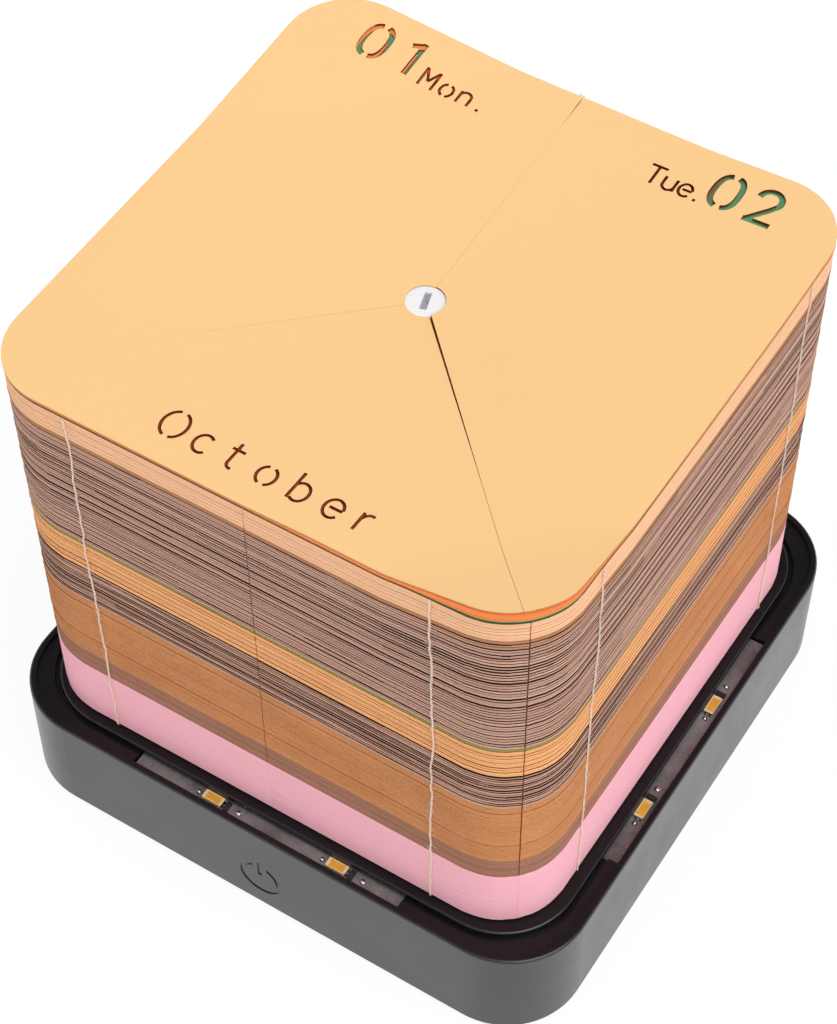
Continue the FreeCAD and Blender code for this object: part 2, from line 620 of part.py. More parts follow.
def paper_block():
    """The bands of leaves from the platform up, the disc and its blade, and the threads."""
    tape = new_body("block_tape", RIM_TOP)
    outline = new_sketch(tape, "outline")
    draw_box(outline, "0", "0", "leaf_width - 2 * tape_margin", "leaf_width - 2 * tape_margin")
    draw_box(outline, "0", "0", SLOT_CARD, SLOT_WIDTH)
    pad(tape, outline, "tape_film")
    level = BLOCK_BASE
    for label, count in (("base_leaf", "1"), ("pink_leaves", "pink_count"), ("taupe_leaves", "taupe_count"),
                         ("caramel_leaves", "caramel_count"), ("umber_leaves", "umber_count"),
                         ("amber_leaves", "amber_count"), ("olive_leaf", "1")):
        leaf_band(label, level, f"{count} * leaf_card")
        level = f"({level} + {count} * leaf_card)"
    leaf_band("mauve_leaves", level, "mauve_count * leaf_card", over=True)
    level = f"({level} + mauve_count * leaf_card)"
    leaf_band("peach_leaves", level, "peach_count * leaf_card", under=True, over=True)
    level = f"({level} + peach_count * leaf_card)"
    binding_threads(level)
    leaf_band("green_leaf", level, "leaf_card", under=True, over=True)
    seat = f"({level} + leaf_card)"
    leaf_band("orange_leaf", seat, "leaf_card", under=True, over=True, holed=True)
    level = f"({seat} + leaf_card + panel_gap)"
    top_panels(level)
    centre_pieces(seat, f"({level} + leaf_card)")


def dish(body, height, under, over):
    """Makes the underside and the face of a leaf follow the sag at the centre."""
    if over:
        face = new_sketch(body, "face", role="XZ_Plane")
        draw_polygon(face, [("0", f"{height} - dish_depth"), (DISH_RADIUS, height), ("0", height)])
        groove(body, face)
    if under:
        back = new_sketch(body, "back", role="XZ_Plane")
        draw_polygon(back, [("0", "-dish_depth"), ("leaf_width", "-dish_depth"), ("leaf_width", "0"),
                            (DISH_RADIUS, "0")])
        groove(body, back)


def leaf_band(label, level, height, under=False, over=False, holed=False):
    """A stack of equal leaves, slotted for the blade, or holed for the disc."""
    body = new_body(label, level)
    sag = "dish_depth" if under else "0"
    outline = new_sketch(body, "outline", lift=f"-{sag}")
    draw_rounded(outline, "leaf_width", "leaf_width", "leaf_corner")
    if holed:
        draw_circle(outline, "0", "0", "cap_radius + cap_gap")
    else:
        draw_box(outline, "0", "0", SLOT_CARD, SLOT_WIDTH)
    pad(body, outline, f"{height} + {sag}")
    dish(body, height, under, over)


def top_panels(level):
    """The top leaf in three panels, cut from the disc to the back and to the front corners."""
    far = "leaf_width"
    half = "panel_kerf / 2"
    slant = "panel_kerf / 2 * sqrt(2)"
    month = [("0", f"-{slant}"), (far, f"-{far} - {slant}"), (far, far), (f"-{far}", far),
             (f"-{far}", f"-{far} - {slant}")]
    waste = {"month_panel": month}
    for label, side in (("day_one_panel", "-1"), ("day_two_panel", "1")):
        near, away = f"{side} * {far}", f"{side} * (-{far})"
        waste[label] = [(f"{side} * {half}", f"{slant} - {half}"), (f"{side} * {half}", far), (away, far),
                        (away, f"-{far}"), (near, f"{slant} - {far}")]
    for label, points in waste.items():
        body = new_body(label, level)
        outline = new_sketch(body, "outline", lift="-dish_depth")
        draw_rounded(outline, "leaf_width", "leaf_width", "leaf_corner")
        pad(body, outline, "leaf_card + dish_depth")
        rest = new_sketch(body, "waste", lift="-dish_depth")
        draw_polygon(rest, points)
        pocket(body, rest, "leaf_card + dish_depth", up=True)
        hole = new_sketch(body, "hole", lift="-dish_depth")
        draw_circle(hole, "0", "0", "cap_radius + cap_gap")
        pocket(body, hole, "leaf_card + dish_depth", up=True)
        dish(body, "leaf_card", under=True, over=True)


def centre_pieces(seat, top):
    """The disc in the sagging centre, and the steel blade from under the platform into it."""
    sag = f"dish_depth * (1 - cap_radius / {DISH_RADIUS})"
    low, high = f"({seat} - {sag})", f"({top} - {sag} + cap_proud)"
    body = new_body("centre_cap", low)
    disc = new_sketch(body, "disc")
    draw_circle(disc, "0", "0", "cap_radius")
    draw_box(disc, "0", "0", "blade_card + 2 * blade_fit", "blade_width + 2 * blade_fit")
    pad(body, disc, f"{high} - {low}")
    body = new_body("centre_blade", PLATFORM_UNDER)
    strip = new_sketch(body, "strip")
    draw_box(strip, "0", "0", "blade_card", "blade_width")
    pad(body, strip, f"{high} - blade_sink - {PLATFORM_UNDER}")
    foot = new_sketch(body, "foot")
    draw_box(foot, "blade_foot / 2 - blade_card / 2", "0", "blade_foot", "blade_width")
    pad(body, foot, "blade_card", down=True)


def binding_threads(top):
    """Two cotton threads glued down each face, flat side to the leaves."""
    body = new_body("binding_threads", BLOCK_BASE)
    outline = new_sketch(body, "outline")
    face = number("leaf_width / 2")
    radius = number("thread_radius")
    for side in (-1, 1):
        middle = FreeCAD.Vector(side * number("thread_place"), -face, 0)
        circle = Part.Circle(middle, FreeCAD.Vector(0, 0, 1), radius)
        arc = outline.addGeometry(Part.ArcOfCircle(circle, math.pi, 2 * math.pi), False)
        ends = outline.Geometry[arc]
        line = outline.addGeometry(Part.LineSegment(ends.EndPoint, ends.StartPoint), False)
        constrain(outline, "Coincident", arc, 2, line, 1)
        constrain(outline, "Coincident", line, 2, arc, 1)
        constrain(outline, "Horizontal", line)
        constrain(outline, "PointOnObject", arc, 3, line)
        pin(outline, arc, 3, "-thread_place" if side < 0 else "thread_place", "-leaf_width / 2")
        constrain(outline, "Radius", arc, value="thread_radius")
    around(body, pad(body, outline, f"{top} - {BLOCK_BASE}"))


def wire_solid(points):
    """A round wire along straight runs joined by tangent arcs, and its smallest bend."""
    radius = number("wire_radius")
    edges = []
    bends = []
    start = points[0]
    for before, corner, after in zip(points, points[1:], points[2:]):
        inward, outward = (corner - before), (after - corner)
        turn = inward.getAngle(outward)
        reach = BEND_SHARE * min(inward.Length, outward.Length)
        bend = reach / math.tan(turn / 2)
        inward.normalize()
        outward.normalize()
        first, last = corner - inward * reach, corner + outward * reach
        toward = (outward - inward).normalize()
        centre = corner + toward * (bend / math.cos(turn / 2))
        edges.append(Part.LineSegment(start, first).toShape())
        edges.append(Part.Arc(first, centre - toward * bend, last).toShape())
        bends.append(bend)
        start = last
    edges.append(Part.LineSegment(start, points[-1]).toShape())
    path = Part.Wire(edges)
    ring = Part.Wire([Part.makeCircle(radius, points[0], points[1] - points[0])])
    return path.makePipeShell([ring], True, False), min(bends)


def wires(label, routes):
    """A group of wires, each held along its whole route, as one node."""
    feature = doc.addObject("Part::Feature", label)
    solids = []
    for route in routes:
        solid, bend = wire_solid([FreeCAD.Vector(*point) for point in route])
        solids.append(solid)
        print(f"{label}: smallest bend {bend:.2f} mm, wire radius {number('wire_radius')} mm")
    feature.Shape = Part.makeCompound(solids)
    add_part(feature, label)


def strip_leads():
    """Pairs of leads from under strip to strip round three corners, between screw post and wall."""
    end, line = number(f"{STRIP_LENGTH} / 2 - lead_inset"), number(STRIP_LINE)
    under, level = number(STRIP_UNDER), number(f"{STRIP_UNDER} - lead_drop")
    post = number(BOSS_PLACE) * math.sqrt(2) + number("boss_radius")
    corner = number("base_corner - rim_wall")
    wall = (number(INSIDE) - corner) * math.sqrt(2) + corner
    bend = (post + wall) / 2 * math.sqrt(2) - line
    routes = []
    for turn in (0, 90, 180):
        spin = FreeCAD.Rotation(FreeCAD.Vector(0, 0, 1), turn)
        for step in (-number("wire_pitch / 2"), number("wire_pitch / 2")):
            across, knee = line + step, bend + step * math.tan(math.pi / 8)
            route = [(end, -across, under), (end, -across, level), (knee, -across, level),
                     (across, -knee, level), (across, -end, level), (across, -end, under)]
            routes.append([spin.multVec(FreeCAD.Vector(*point)) for point in route])
    wires("strip_leads", routes)


def board_leads():
    """Leads from the board's front edge: a pair to the lamps, a pair to the cell, one to the foil."""
    edge, level = number(BOARD_FRONT), number(f"{BOARD_TOP} - board_card / 2")
    back, front = number(CELL_BACK), number(f"{CELL_BACK} - cell_depth")
    beside = number("cell_width / 2") + 6
    strip, under = -number(STRIP_LINE), number(STRIP_UNDER)
    run = number(f"{STRIP_UNDER} - lead_drop")
    foil, foil_level = -number(f"{INSIDE} - plate_film"), number(SIGN_LEVEL)
    feed, cell = [], []
    for step in (-number("wire_pitch / 2"), number("wire_pitch / 2")):
        feed.append([(step - 9, edge, level), (step - 9, edge - 4 + step, level),
                     (step - beside, back + 3 + step, level), (step - beside, front - 2, level),
                     (step - 15, front - 14, level + 4), (step - 7, front - 22, run),
                     (step - 7, strip, run), (step - 7, strip, under)])
        cell.append([(3 + step, edge, level), (3 + step, edge - 3, level), (1 + step, back + 3, level + 0.7),
                     (1 + step, back, level + 0.7)])
    wires("feed_leads", feed)
    wires("battery_leads", cell)
    wires("touch_lead", [[(2, foil, foil_level), (2, foil + 5, foil_level), (9, front - 22, level + 1),
                          (beside - 4, front - 10, level), (beside, front + 3, level),
                          (beside, back - 3, level), (beside - 5, back + 5, level),
                          (9, edge - 4, level), (9, edge, level)]])


top_housing()
bottom_cover()
cover_screws()
rubber_feet()
lamp_strips()
electronics()
paper_block()
strip_leads()
board_leads()
doc.recompute()

for item in doc.Objects:
    if "Invalid" in item.State or "Error" in item.State:
        raise RuntimeError(f"{item.Name}: {item.State}")
for item in PARTS:
    if item.Shape.isNull() or not item.Shape.isValid() or not item.Shape.Solids:
        raise RuntimeError(f"{item.Label}: bad shape")
os.makedirs("parts", exist_ok=True)
for item in PARTS:
    item.Shape.exportStep(f"parts/{item.Label}.step")
    print(item.Label, len(item.Shape.Solids), round(item.Shape.Volume, 2))
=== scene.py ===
"""Note-block calendar on a lit base: its finishes, its leaf edges and its cut lettering."""

import math
import random

import bmesh
import bpy
import numpy as np
from mathutils import Matrix, Vector, noise


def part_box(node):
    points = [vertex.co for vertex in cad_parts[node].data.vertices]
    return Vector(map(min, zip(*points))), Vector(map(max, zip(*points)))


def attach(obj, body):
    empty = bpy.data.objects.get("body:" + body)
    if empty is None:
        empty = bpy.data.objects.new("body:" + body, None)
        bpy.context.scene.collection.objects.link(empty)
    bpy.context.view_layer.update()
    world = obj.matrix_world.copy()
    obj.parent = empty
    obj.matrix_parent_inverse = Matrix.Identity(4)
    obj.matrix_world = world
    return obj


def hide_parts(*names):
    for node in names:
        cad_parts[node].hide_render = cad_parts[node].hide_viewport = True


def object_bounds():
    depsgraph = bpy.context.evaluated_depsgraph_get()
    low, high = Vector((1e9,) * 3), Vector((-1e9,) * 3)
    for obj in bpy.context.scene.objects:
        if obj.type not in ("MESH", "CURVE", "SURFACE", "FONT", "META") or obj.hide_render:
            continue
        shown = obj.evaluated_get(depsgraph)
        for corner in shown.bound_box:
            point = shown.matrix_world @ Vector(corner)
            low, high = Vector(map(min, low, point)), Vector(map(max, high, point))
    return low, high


bl_info = {
    "name": "Note Block Calendar",
    "version": (1, 0, 0),
    "blender": (4, 5, 0),
    "location": "3D View > Sidebar > Calendar",
    "description": "Leaf edges, cut lettering, binding threads and finishes of a note-block calendar",
    "category": "Object",
}

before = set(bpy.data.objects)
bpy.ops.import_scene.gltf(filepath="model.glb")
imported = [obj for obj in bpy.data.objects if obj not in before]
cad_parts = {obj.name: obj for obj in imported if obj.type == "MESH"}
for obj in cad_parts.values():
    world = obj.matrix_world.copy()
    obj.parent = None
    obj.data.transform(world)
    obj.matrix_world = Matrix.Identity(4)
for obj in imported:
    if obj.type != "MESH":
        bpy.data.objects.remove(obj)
CAD_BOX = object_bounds()
MM = 0.001


# ---------------------------------------------------------------- small helpers


def ink(red, green, blue):
    """The linear colour of three display values from 0 to 255."""
    parts = [value / 255 for value in (red, green, blue)]
    return tuple(p / 12.92 if p <= 0.04045 else ((p + 0.055) / 1.055) ** 2.4 for p in parts)


def settings():
    """The calendar's settings on the scene."""
    return bpy.context.scene.calendar


def clear_selection():
    """Leaves edit mode and deselects every object."""
    if bpy.context.object and bpy.context.object.mode != "OBJECT":
        bpy.ops.object.mode_set(mode="OBJECT")
    bpy.ops.object.select_all(action="DESELECT")


def work_on(piece):
    """Makes one object the only selected one and the active one."""
    clear_selection()
    piece.select_set(True)
    bpy.context.view_layer.objects.active = piece


def edit(piece):
    """Opens a piece in edit mode with nothing selected."""
    work_on(piece)
    bpy.ops.object.mode_set(mode="EDIT")
    bpy.ops.mesh.select_all(action="DESELECT")


def pick(piece, kind, test):
    """Selects the vertices, edges or faces of a piece in edit mode that pass a test."""
    bpy.ops.mesh.select_mode(type={"verts": "VERT", "edges": "EDGE", "faces": "FACE"}[kind])
    bpy.ops.mesh.select_all(action="DESELECT")
    mesh = bmesh.from_edit_mesh(piece.data)
    for part in getattr(mesh, kind):
        if test(part):
            part.select_set(True)
    mesh.select_flush_mode()
    bmesh.update_edit_mesh(piece.data)


def corners_of(piece):
    """The vertices of a piece as rows of x, y, z."""
    rows = np.zeros(len(piece.data.vertices) * 3)
    piece.data.vertices.foreach_get("co", rows)
    return rows.reshape(-1, 3)


def put_corners(piece, rows):
    """Writes back rows of x, y, z."""
    piece.data.vertices.foreach_set("co", np.ascontiguousarray(rows).ravel())
    piece.data.update()


def settle_place(piece):
    """Moves a piece's place into its mesh, so that its object sits at the origin."""
    work_on(piece)
    bpy.ops.object.transform_apply(location=True, rotation=True, scale=True)


def solid(kind, name, scale=None, **traits):
    """A plain solid under a name, with its place and scale moved into its mesh."""
    clear_selection()
    getattr(bpy.ops.mesh, f"primitive_{kind}_add")(**traits)
    piece = bpy.context.object
    piece.name = name
    if scale:
        piece.scale = scale
    settle_place(piece)
    return piece


def copy_of(piece, name):
    """A copy of a piece with a mesh of its own."""
    twin = piece.copy()
    twin.data = piece.data.copy()
    twin.name = name
    bpy.context.scene.collection.objects.link(twin)
    return twin


def joined(pieces, name):
    """Joins pieces into one."""
    clear_selection()
    for piece in pieces:
        piece.select_set(True)
    bpy.context.view_layer.objects.active = pieces[0]
    if len(pieces) > 1:
        bpy.ops.object.join()
    whole = bpy.context.view_layer.objects.active
    whole.name = name
    whole.data.name = name
    return whole


def outward(piece):
    """Merges doubles and turns the faces outwards."""
    edit(piece)
    bpy.ops.mesh.select_all(action="SELECT")
    bpy.ops.mesh.remove_doubles(threshold=0.000002)
    bpy.ops.mesh.normals_make_consistent(inside=False)
    bpy.ops.object.mode_set(mode="OBJECT")


def smooth(piece, angle=30):
    """Smooth shading, with edges sharper than an angle kept."""
    work_on(piece)
    bpy.ops.object.shade_smooth_by_angle(angle=math.radians(angle))


def round_uprights(piece, offset, segments):
    """Opens a piece in edit mode and rounds its upright edges."""
    edit(piece)
    pick(piece, "edges", lambda edge: abs((edge.verts[0].co - edge.verts[1].co).normalized().z) > 0.9)
    bpy.ops.mesh.bevel(offset=offset, segments=segments, affect="EDGES")


def carve(piece, cutter):
    """Cuts one piece with another, which is used up."""
    work_on(piece)
    cut = piece.modifiers.new("cut", "BOOLEAN")
    cut.operation = "DIFFERENCE"
    cut.solver = "EXACT"
    cut.object = cutter
    bpy.ops.object.modifier_apply(modifier=cut.name)
    bpy.data.objects.remove(cutter, do_unlink=True)


def dress(piece, *materials):
    """Replaces a piece's materials, and keeps which face has which."""
    faces = piece.data.polygons
    slots = np.zeros(len(faces), dtype=np.int32)
    faces.foreach_get("material_index", slots)
    piece.data.materials.clear()
    for material in materials:
        piece.data.materials.append(material)
    faces.foreach_set("material_index", np.minimum(slots, len(materials) - 1))


def paint_flats(piece):
    """Gives a piece's level faces its second material."""
    faces = piece.data.polygons
    normals = np.zeros(len(faces) * 3, dtype=np.float32)
    faces.foreach_get("normal", normals)
    level = np.abs(normals.reshape(-1, 3)[:, 2]) > 0.9
    faces.foreach_set("material_index", level.astype(np.int32))


def set_layer(piece, name, values):
    """Writes a value per point that the edge material reads."""
    layer = piece.data.attributes.new(name, "FLOAT", "POINT")
    layer.data.foreach_set("value", np.ascontiguousarray(values, dtype=np.float32))


def finish_piece(piece, body, nodes=()):
    """Puts a new piece on its body and hides the CAD parts of the nodes it stands for."""
    if piece.location.length > 1e-9:
        settle_place(piece)
    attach(piece, body)
    if nodes:
        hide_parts(*nodes)


# ---------------------------------------------------------------- how the block sits


SAME = 1e-6  # m; closer than this, points count as in line
RIM = 0.6 * MM  # how far in from the outline a point still belongs to the rim
SLITS = {"back": (0.0, 45.0), "left": (-40.4, -40.5), "right": (40.5, -41.3)}  # their outer ends, in mm
CURLS = (
    # direction of the corner, share of the curl, where it starts and where it is full, in mm from the middle
    ((1, -1), 1.0, 46.5, 58.0),
    ((-1, 1), 0.88, 39.0, 59.0),
    ((1, 1), 0.45, 46.0, 59.0),
)


def block_levels():
    """Bottom and top of the stack of leaves."""
    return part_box("base_leaf")[0].z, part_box("month_panel")[1].z


def core():
    """Half the width and depth of the square between the middles of the block's round corners."""
    shape = settings().block
    return np.array([shape.half_x, shape.half_y]) - shape.corner


def out_of_core(rows):
    """How far each point lies outside that square; on the block's outline it is the corner radius."""
    return np.hypot(*np.maximum(np.abs(rows[:, :2]) - core(), 0).T)


def outward_of(rows):
    """Unit directions out of the block's outline at each point, and whether a point is in a round corner."""
    over = np.abs(rows[:, :2]) - core()
    way = np.maximum(over, 0)
    length = np.maximum(np.hypot(way[:, 0], way[:, 1]), SAME)
    return way / length[:, None] * np.sign(rows[:, :2]), (over > SAME).all(axis=1)


def slit_way(name):
    """The unit direction of a slit from the middle."""
    return np.array(SLITS[name]) / math.hypot(*SLITS[name])


def curl(rows):
    """How much each point's corner of the upper leaves curls up, from 0 to 1."""
    height = np.zeros(len(rows))
    for (way_x, way_y), share, start, full in CURLS:
        reach = (rows[:, 0] * way_x + rows[:, 1] * way_y) / math.sqrt(2) / MM
        height += share * np.clip((reach - start) / (full - start), 0, 1.05)
    return height


def open_corner(rows):
    """1 at the right front corner, where the upper leaves fan open, falling to 0 away from it."""
    reach = (rows[:, 0] - rows[:, 1]) / math.sqrt(2) / MM
    reach = reach - 0.25 * np.clip(rows[:, 1] / MM + 38, 0, 40)
    return np.clip((reach - 49) / 8, 0, 1)


def settled(rows, dished=1.0, curled=1.0):
    """Leans, tilts, dishes and curls points of a square block, given as rows of x, y, z."""
    shape = settings().block
    bottom, top = block_levels()
    rows = np.array(rows, float)
    rise = np.clip((rows[:, 2] - bottom) / (top - bottom), 0, 1.1)
    drop = shape.front_drop / 2 - (shape.front_drop / 2 - 0.08 * MM) * rows[:, 1] / shape.half_y
    reach = np.hypot(rows[:, 0], rows[:, 1]) / shape.dish_radius
    sag = shape.dish * np.clip(1 - reach, 0, 1) * dished
    fan = np.clip((rows[:, 2] - bottom - 48 * MM) / (28 * MM), 0, 1)
    lift = curl(rows) * shape.curl * fan * curled
    rows[:, 2] -= rise * drop + sag - lift
    rows[:, 0] += rise * shape.lean_x + shape.shift * (0.56 + 0.44 * np.clip(reach, 0, 1))
    rows[:, 0] += shape.skew * np.clip(rows[:, 0] / shape.half_x, 0, 1) * (0.5 + rows[:, 1] / shape.half_y / 2)
    rows[:, 1] += rise * shape.lean_y
    return rows


def wave(rows, size, seed):
    """Smooth noise from -1 to 1 at each point, of a given feature size."""
    place = rows / size
    return np.array([noise.noise(Vector((x, y, z * 0.2 + seed))) for x, y, z in place])


# ---------------------------------------------------------------- shader helpers


def fill(tree, socket, value):
    """Feeds a socket with another node's output or with a value; a colour may come without its alpha."""
    if isinstance(value, bpy.types.NodeSocket):
        tree.links.new(value, socket)
    else:
        socket.default_value = (*value[:3], 1.0) if socket.type == "RGBA" else value


def add(tree, kind, inputs=(), **traits):
    """Adds a node, sets its traits and fills its inputs."""
    node = tree.nodes.new(kind)
    for trait, value in traits.items():
        setattr(node, trait, value)
    for socket, value in dict(inputs).items():
        fill(tree, node.inputs[socket], value)
    return node


def mix(tree, share, first, second, how="MIX"):
    """A colour between two."""
    colours = {0: share, 6: first, 7: second}
    return add(tree, "ShaderNodeMix", colours, data_type="RGBA", blend_type=how).outputs[2]


def ranged(tree, value, low, high, to_low=0.0, to_high=1.0):
    """A value stretched from one range to another."""
    return add(tree, "ShaderNodeMapRange", {0: value, 1: low, 2: high, 3: to_low, 4: to_high}).outputs[0]


def combined(tree, first, second, how="MULTIPLY"):
    """Two values combined."""
    return add(tree, "ShaderNodeMath", {0: first, 1: second}, operation=how).outputs[0]


def object_place(tree):
    """Where a point lies in its object, in metres."""
    return add(tree, "ShaderNodeTexCoord").outputs["Object"]


def cloud(tree, place, scale, detail, roughness=0.5):
    """Noise from 0 to 1."""
    sockets = {"Vector": place, "Scale": scale, "Detail": detail, "Roughness": roughness}
    return add(tree, "ShaderNodeTexNoise", sockets).outputs["Fac"]


def layer_value(tree, name):
    """A value that set_layer wrote."""
    return add(tree, "ShaderNodeAttribute", attribute_name=name).outputs["Fac"]


def bump(tree, height, depth):
    """The normal of a bump of a real depth in metres."""
    return add(tree, "ShaderNodeBump", {"Strength": 1.0, "Distance": depth, "Height": height}).outputs[0]


def node_group(name, inputs, outputs, wire):
    """The node group of a name; wire lays its nodes the first time and says what its outputs carry."""
    if name in bpy.data.node_groups:
        return bpy.data.node_groups[name]
    group = bpy.data.node_groups.new(name, "ShaderNodeTree")
    for label, kind, value in inputs:
        socket = group.interface.new_socket(label, in_out="INPUT", socket_type=f"NodeSocket{kind}")
        socket.default_value = value
    for label, kind in outputs:
        group.interface.new_socket(label, in_out="OUTPUT", socket_type=f"NodeSocket{kind}")
    start = group.nodes.new("NodeGroupInput")
    end = group.nodes.new("NodeGroupOutput")
    for label, value in wire(group, start.outputs).items():
        group.links.new(value, end.inputs[label])
    return group


def paper_grain():
    """Fibres and flecks of an uncoated paper: a tint around 1 and a height."""

    def wire(group, given):
        place = object_place(group)
        fine = cloud(group, place, given["Scale"], 3.0, 0.6)
        broad = cloud(group, place, 90.0, 2.0)
        both = combined(group, fine, combined(group, broad, 0.35), "ADD")
        low = combined(group, 1.0, given["Fleck"], "SUBTRACT")
        high = combined(group, 1.0, given["Fleck"], "ADD")
        shade = ranged(group, both, 0.35, 1.0, low, high)
        tint = add(group, "ShaderNodeCombineColor", {0: shade, 1: shade, 2: shade}).outputs[0]
        return {"Tint": tint, "Height": fine}

    inputs = [("Scale", "Float", 2500.0), ("Fleck", "Float", 0.04)]
    return node_group("Paper Grain", inputs, [("Tint", "Color"), ("Height", "Float")], wire)


def moulded_skin():
    """Spark-eroded skin of a moulding: a height, and a patchy mask for handling marks."""

    def wire(group, given):
        place = object_place(group)
        patch = cloud(group, place, given["Patch"], 4.0, 0.65)
        return {"Height": cloud(group, place, given["Scale"], 2.0), "Marks": ranged(group, patch, 0.35, 0.7)}

    inputs = [("Scale", "Float", 5000.0), ("Patch", "Float", 60.0)]
    return node_group("Moulded Skin", inputs, [("Height", "Float"), ("Marks", "Float")], wire)


def brushed_metal():
    """Fine drawn lines on sheet metal: a height and a mask for tarnish."""

    def wire(group, given):
        place = object_place(group)
        drawn = add(group, "ShaderNodeVectorMath", {0: place, 1: given["Along"]}, operation="MULTIPLY").outputs[0]
        tarnish = ranged(group, cloud(group, place, 700.0, 3.0), 0.4, 0.75)
        return {"Height": cloud(group, drawn, 1.0, 3.0), "Marks": tarnish}

    inputs = [("Along", "Vector", (200, 6000, 6000))]
    return node_group("Brushed Metal", inputs, [("Height", "Float"), ("Marks", "Float")], wire)


def grouped(tree, group, **inputs):
    """The outputs of a node group laid into a tree with its inputs filled."""
    return add(tree, "ShaderNodeGroup", inputs, node_tree=group).outputs


def feed(material, **sockets):
    """Fills sockets of a material's Principled shader, whose names have _ for a space here."""
    tree = material.node_tree
    for socket, value in sockets.items():
        fill(tree, tree.nodes["Principled BSDF"].inputs[socket.replace("_", " ")], value)


def shader(name, **constants):
    """A new material with constants on its Principled shader, and its node tree."""
    material = bpy.data.materials.new(name)
    material.use_nodes = True
    feed(material, **constants)
    return material, material.node_tree


# ---------------------------------------------------------------- finishes


WEEKDAYS_MIDDLE = 0.5  # mm right of the middle, between the two weekdays
CUT_SHADE_ZONES = {
    # what bounds each zone of painted shade under the cuts: a measure, where the brown ends and where it is full, in mm
    "month": (("y", -32.0, -34.5), ("y", -43.2, -41.8), ("x", 14.7, 13.8), ("x", -21.0, -18.8)),
    "weekdays": (("y", 31.0, 33.5), ("beside", 24.7, 23.5), ("y", 42.5, 40.5), ("beside", 8.5, 11.0)),
    "slit": (("across", 2.8, 1.2), ("x", 30.0, 29.0), ("x", 0.0, 1.5)),
}


def painted_cut_shade(tree, body, browned):
    """Paints shade on a leaf's face, browned under the small lettering and along the right slit, for the shade seen
    down the narrow cuts.
    """
    place = object_place(tree)
    parts = add(tree, "ShaderNodeSeparateXYZ", {0: place}).outputs
    way = slit_way("right")
    off = add(tree, "ShaderNodeVectorMath", {0: place, 1: (-way[1], way[0], 0)}, operation="DOT_PRODUCT")
    measures = {
        "x": parts["X"],
        "y": parts["Y"],
        "beside": combined(tree, combined(tree, parts["X"], WEEKDAYS_MIDDLE * MM, "SUBTRACT"), 0.0, "ABSOLUTE"),
        "across": combined(tree, off.outputs["Value"], 0.0, "ABSOLUTE"),
    }
    share = 0.0
    for edges in CUT_SHADE_ZONES.values():
        zone_shade = 1.0
        for measure, end, full in edges:
            zone_shade = combined(tree, zone_shade, ranged(tree, measures[measure], end * MM, full * MM))
        share = combined(tree, share, zone_shade, "MAXIMUM")
    return mix(tree, share, body, browned)


def grained(name, colour, scale, fleck, depth, browned=None, **constants):
    """A material with a paper's grain, and browned painted shade under the cuts when given a colour for it."""
    material, tree = shader(name, **constants)
    grain = grouped(tree, paper_grain(), Scale=scale, Fleck=fleck)
    body = mix(tree, 1.0, colour, grain["Tint"], "MULTIPLY")
    if browned:
        body = painted_cut_shade(tree, body, browned)
    feed(material, Base_Color=body, Normal=bump(tree, grain["Height"], depth * MM))
    return material


def paper_face(name, colour, fleck, roughness=0.8, browned=None):
    """The flat face of a leaf, or another sheet."""
    return grained(name, colour, 3200.0, fleck, 0.01, browned, Roughness=roughness, Specular_IOR_Level=0.25)


def leaf_edges(name, light, dark, warm, stray=None, speckle=0.12, blush=0.25):
    """The trimmed edges of a stack: each leaf's tone, fibres, warm burnt-looking patches, nicks with painted shade in
    them, and stray leaves.
    """
    material, tree = shader(name, Roughness=0.85, Specular_IOR_Level=0.2)
    body = mix(tree, layer_value(tree, "tone"), dark, light)
    patches = cloud(tree, object_place(tree), 95.0, 5.0, 0.7)
    body = mix(tree, ranged(tree, patches, 0.46, 0.72, 0.0, blush), body, warm)
    if stray:
        body = mix(tree, layer_value(tree, "stray"), body, stray)
    grain = grouped(tree, paper_grain(), Scale=3400.0, Fleck=speckle)
    body = mix(tree, 1.0, body, grain["Tint"], "MULTIPLY")
    # painted shade: the nicks darkened towards dark brown
    body = mix(tree, layer_value(tree, "scar"), body, ink(52, 26, 18))
    feed(material, Base_Color=body, Normal=bump(tree, grain["Height"], 0.03 * MM))
    return material


def marked(name, group, inputs, colours, roughness, depth, share=0.5, **constants):
    """A material whose colour and roughness follow a node group's marks, and whose bump follows its height."""
    material, tree = shader(name, **constants)
    skin = grouped(tree, group, **inputs)
    body = mix(tree, combined(tree, skin["Marks"], share), *colours)
    rough = ranged(tree, skin["Marks"], 0.0, 1.0, *roughness)
    feed(material, Base_Color=body, Roughness=rough, Normal=bump(tree, skin["Height"], depth * MM))
    return material


def moulded(name, colour, roughness=(0.4, 0.5), skin=5200.0, depth=0.012, gloss=0.5):
    """A moulded plastic or rubber with a fine skin and faint handling marks."""
    colours = colour, tuple(min(1.0, part * 1.22 + 0.001) for part in colour)
    tint = (0.93, 0.92, 1.0)
    constants = {"Specular_IOR_Level": gloss, "Specular_Tint": tint}
    return marked(name, moulded_skin(), {"Scale": skin}, colours, roughness, depth, **constants)


def drawn_metal(name, colour, along, roughness=(0.25, 0.45)):
    """Sheet metal with drawn lines and a little tarnish."""
    colours = colour, tuple(part * 0.62 for part in colour)
    return marked(name, brushed_metal(), {"Along": along}, colours, roughness, 0.008, Metallic=1.0)


def strip_lacquer(name, colour):
    """Solder lacquer over copper tracks, with patches of handling."""
    colours = tuple(part * 0.4 for part in colour), colour
    inputs = {"Scale": 3000.0, "Patch": 140.0}
    return marked(name, moulded_skin(), inputs, colours, (0.22, 0.42), 0.02, 1.0, Specular_IOR_Level=0.5)


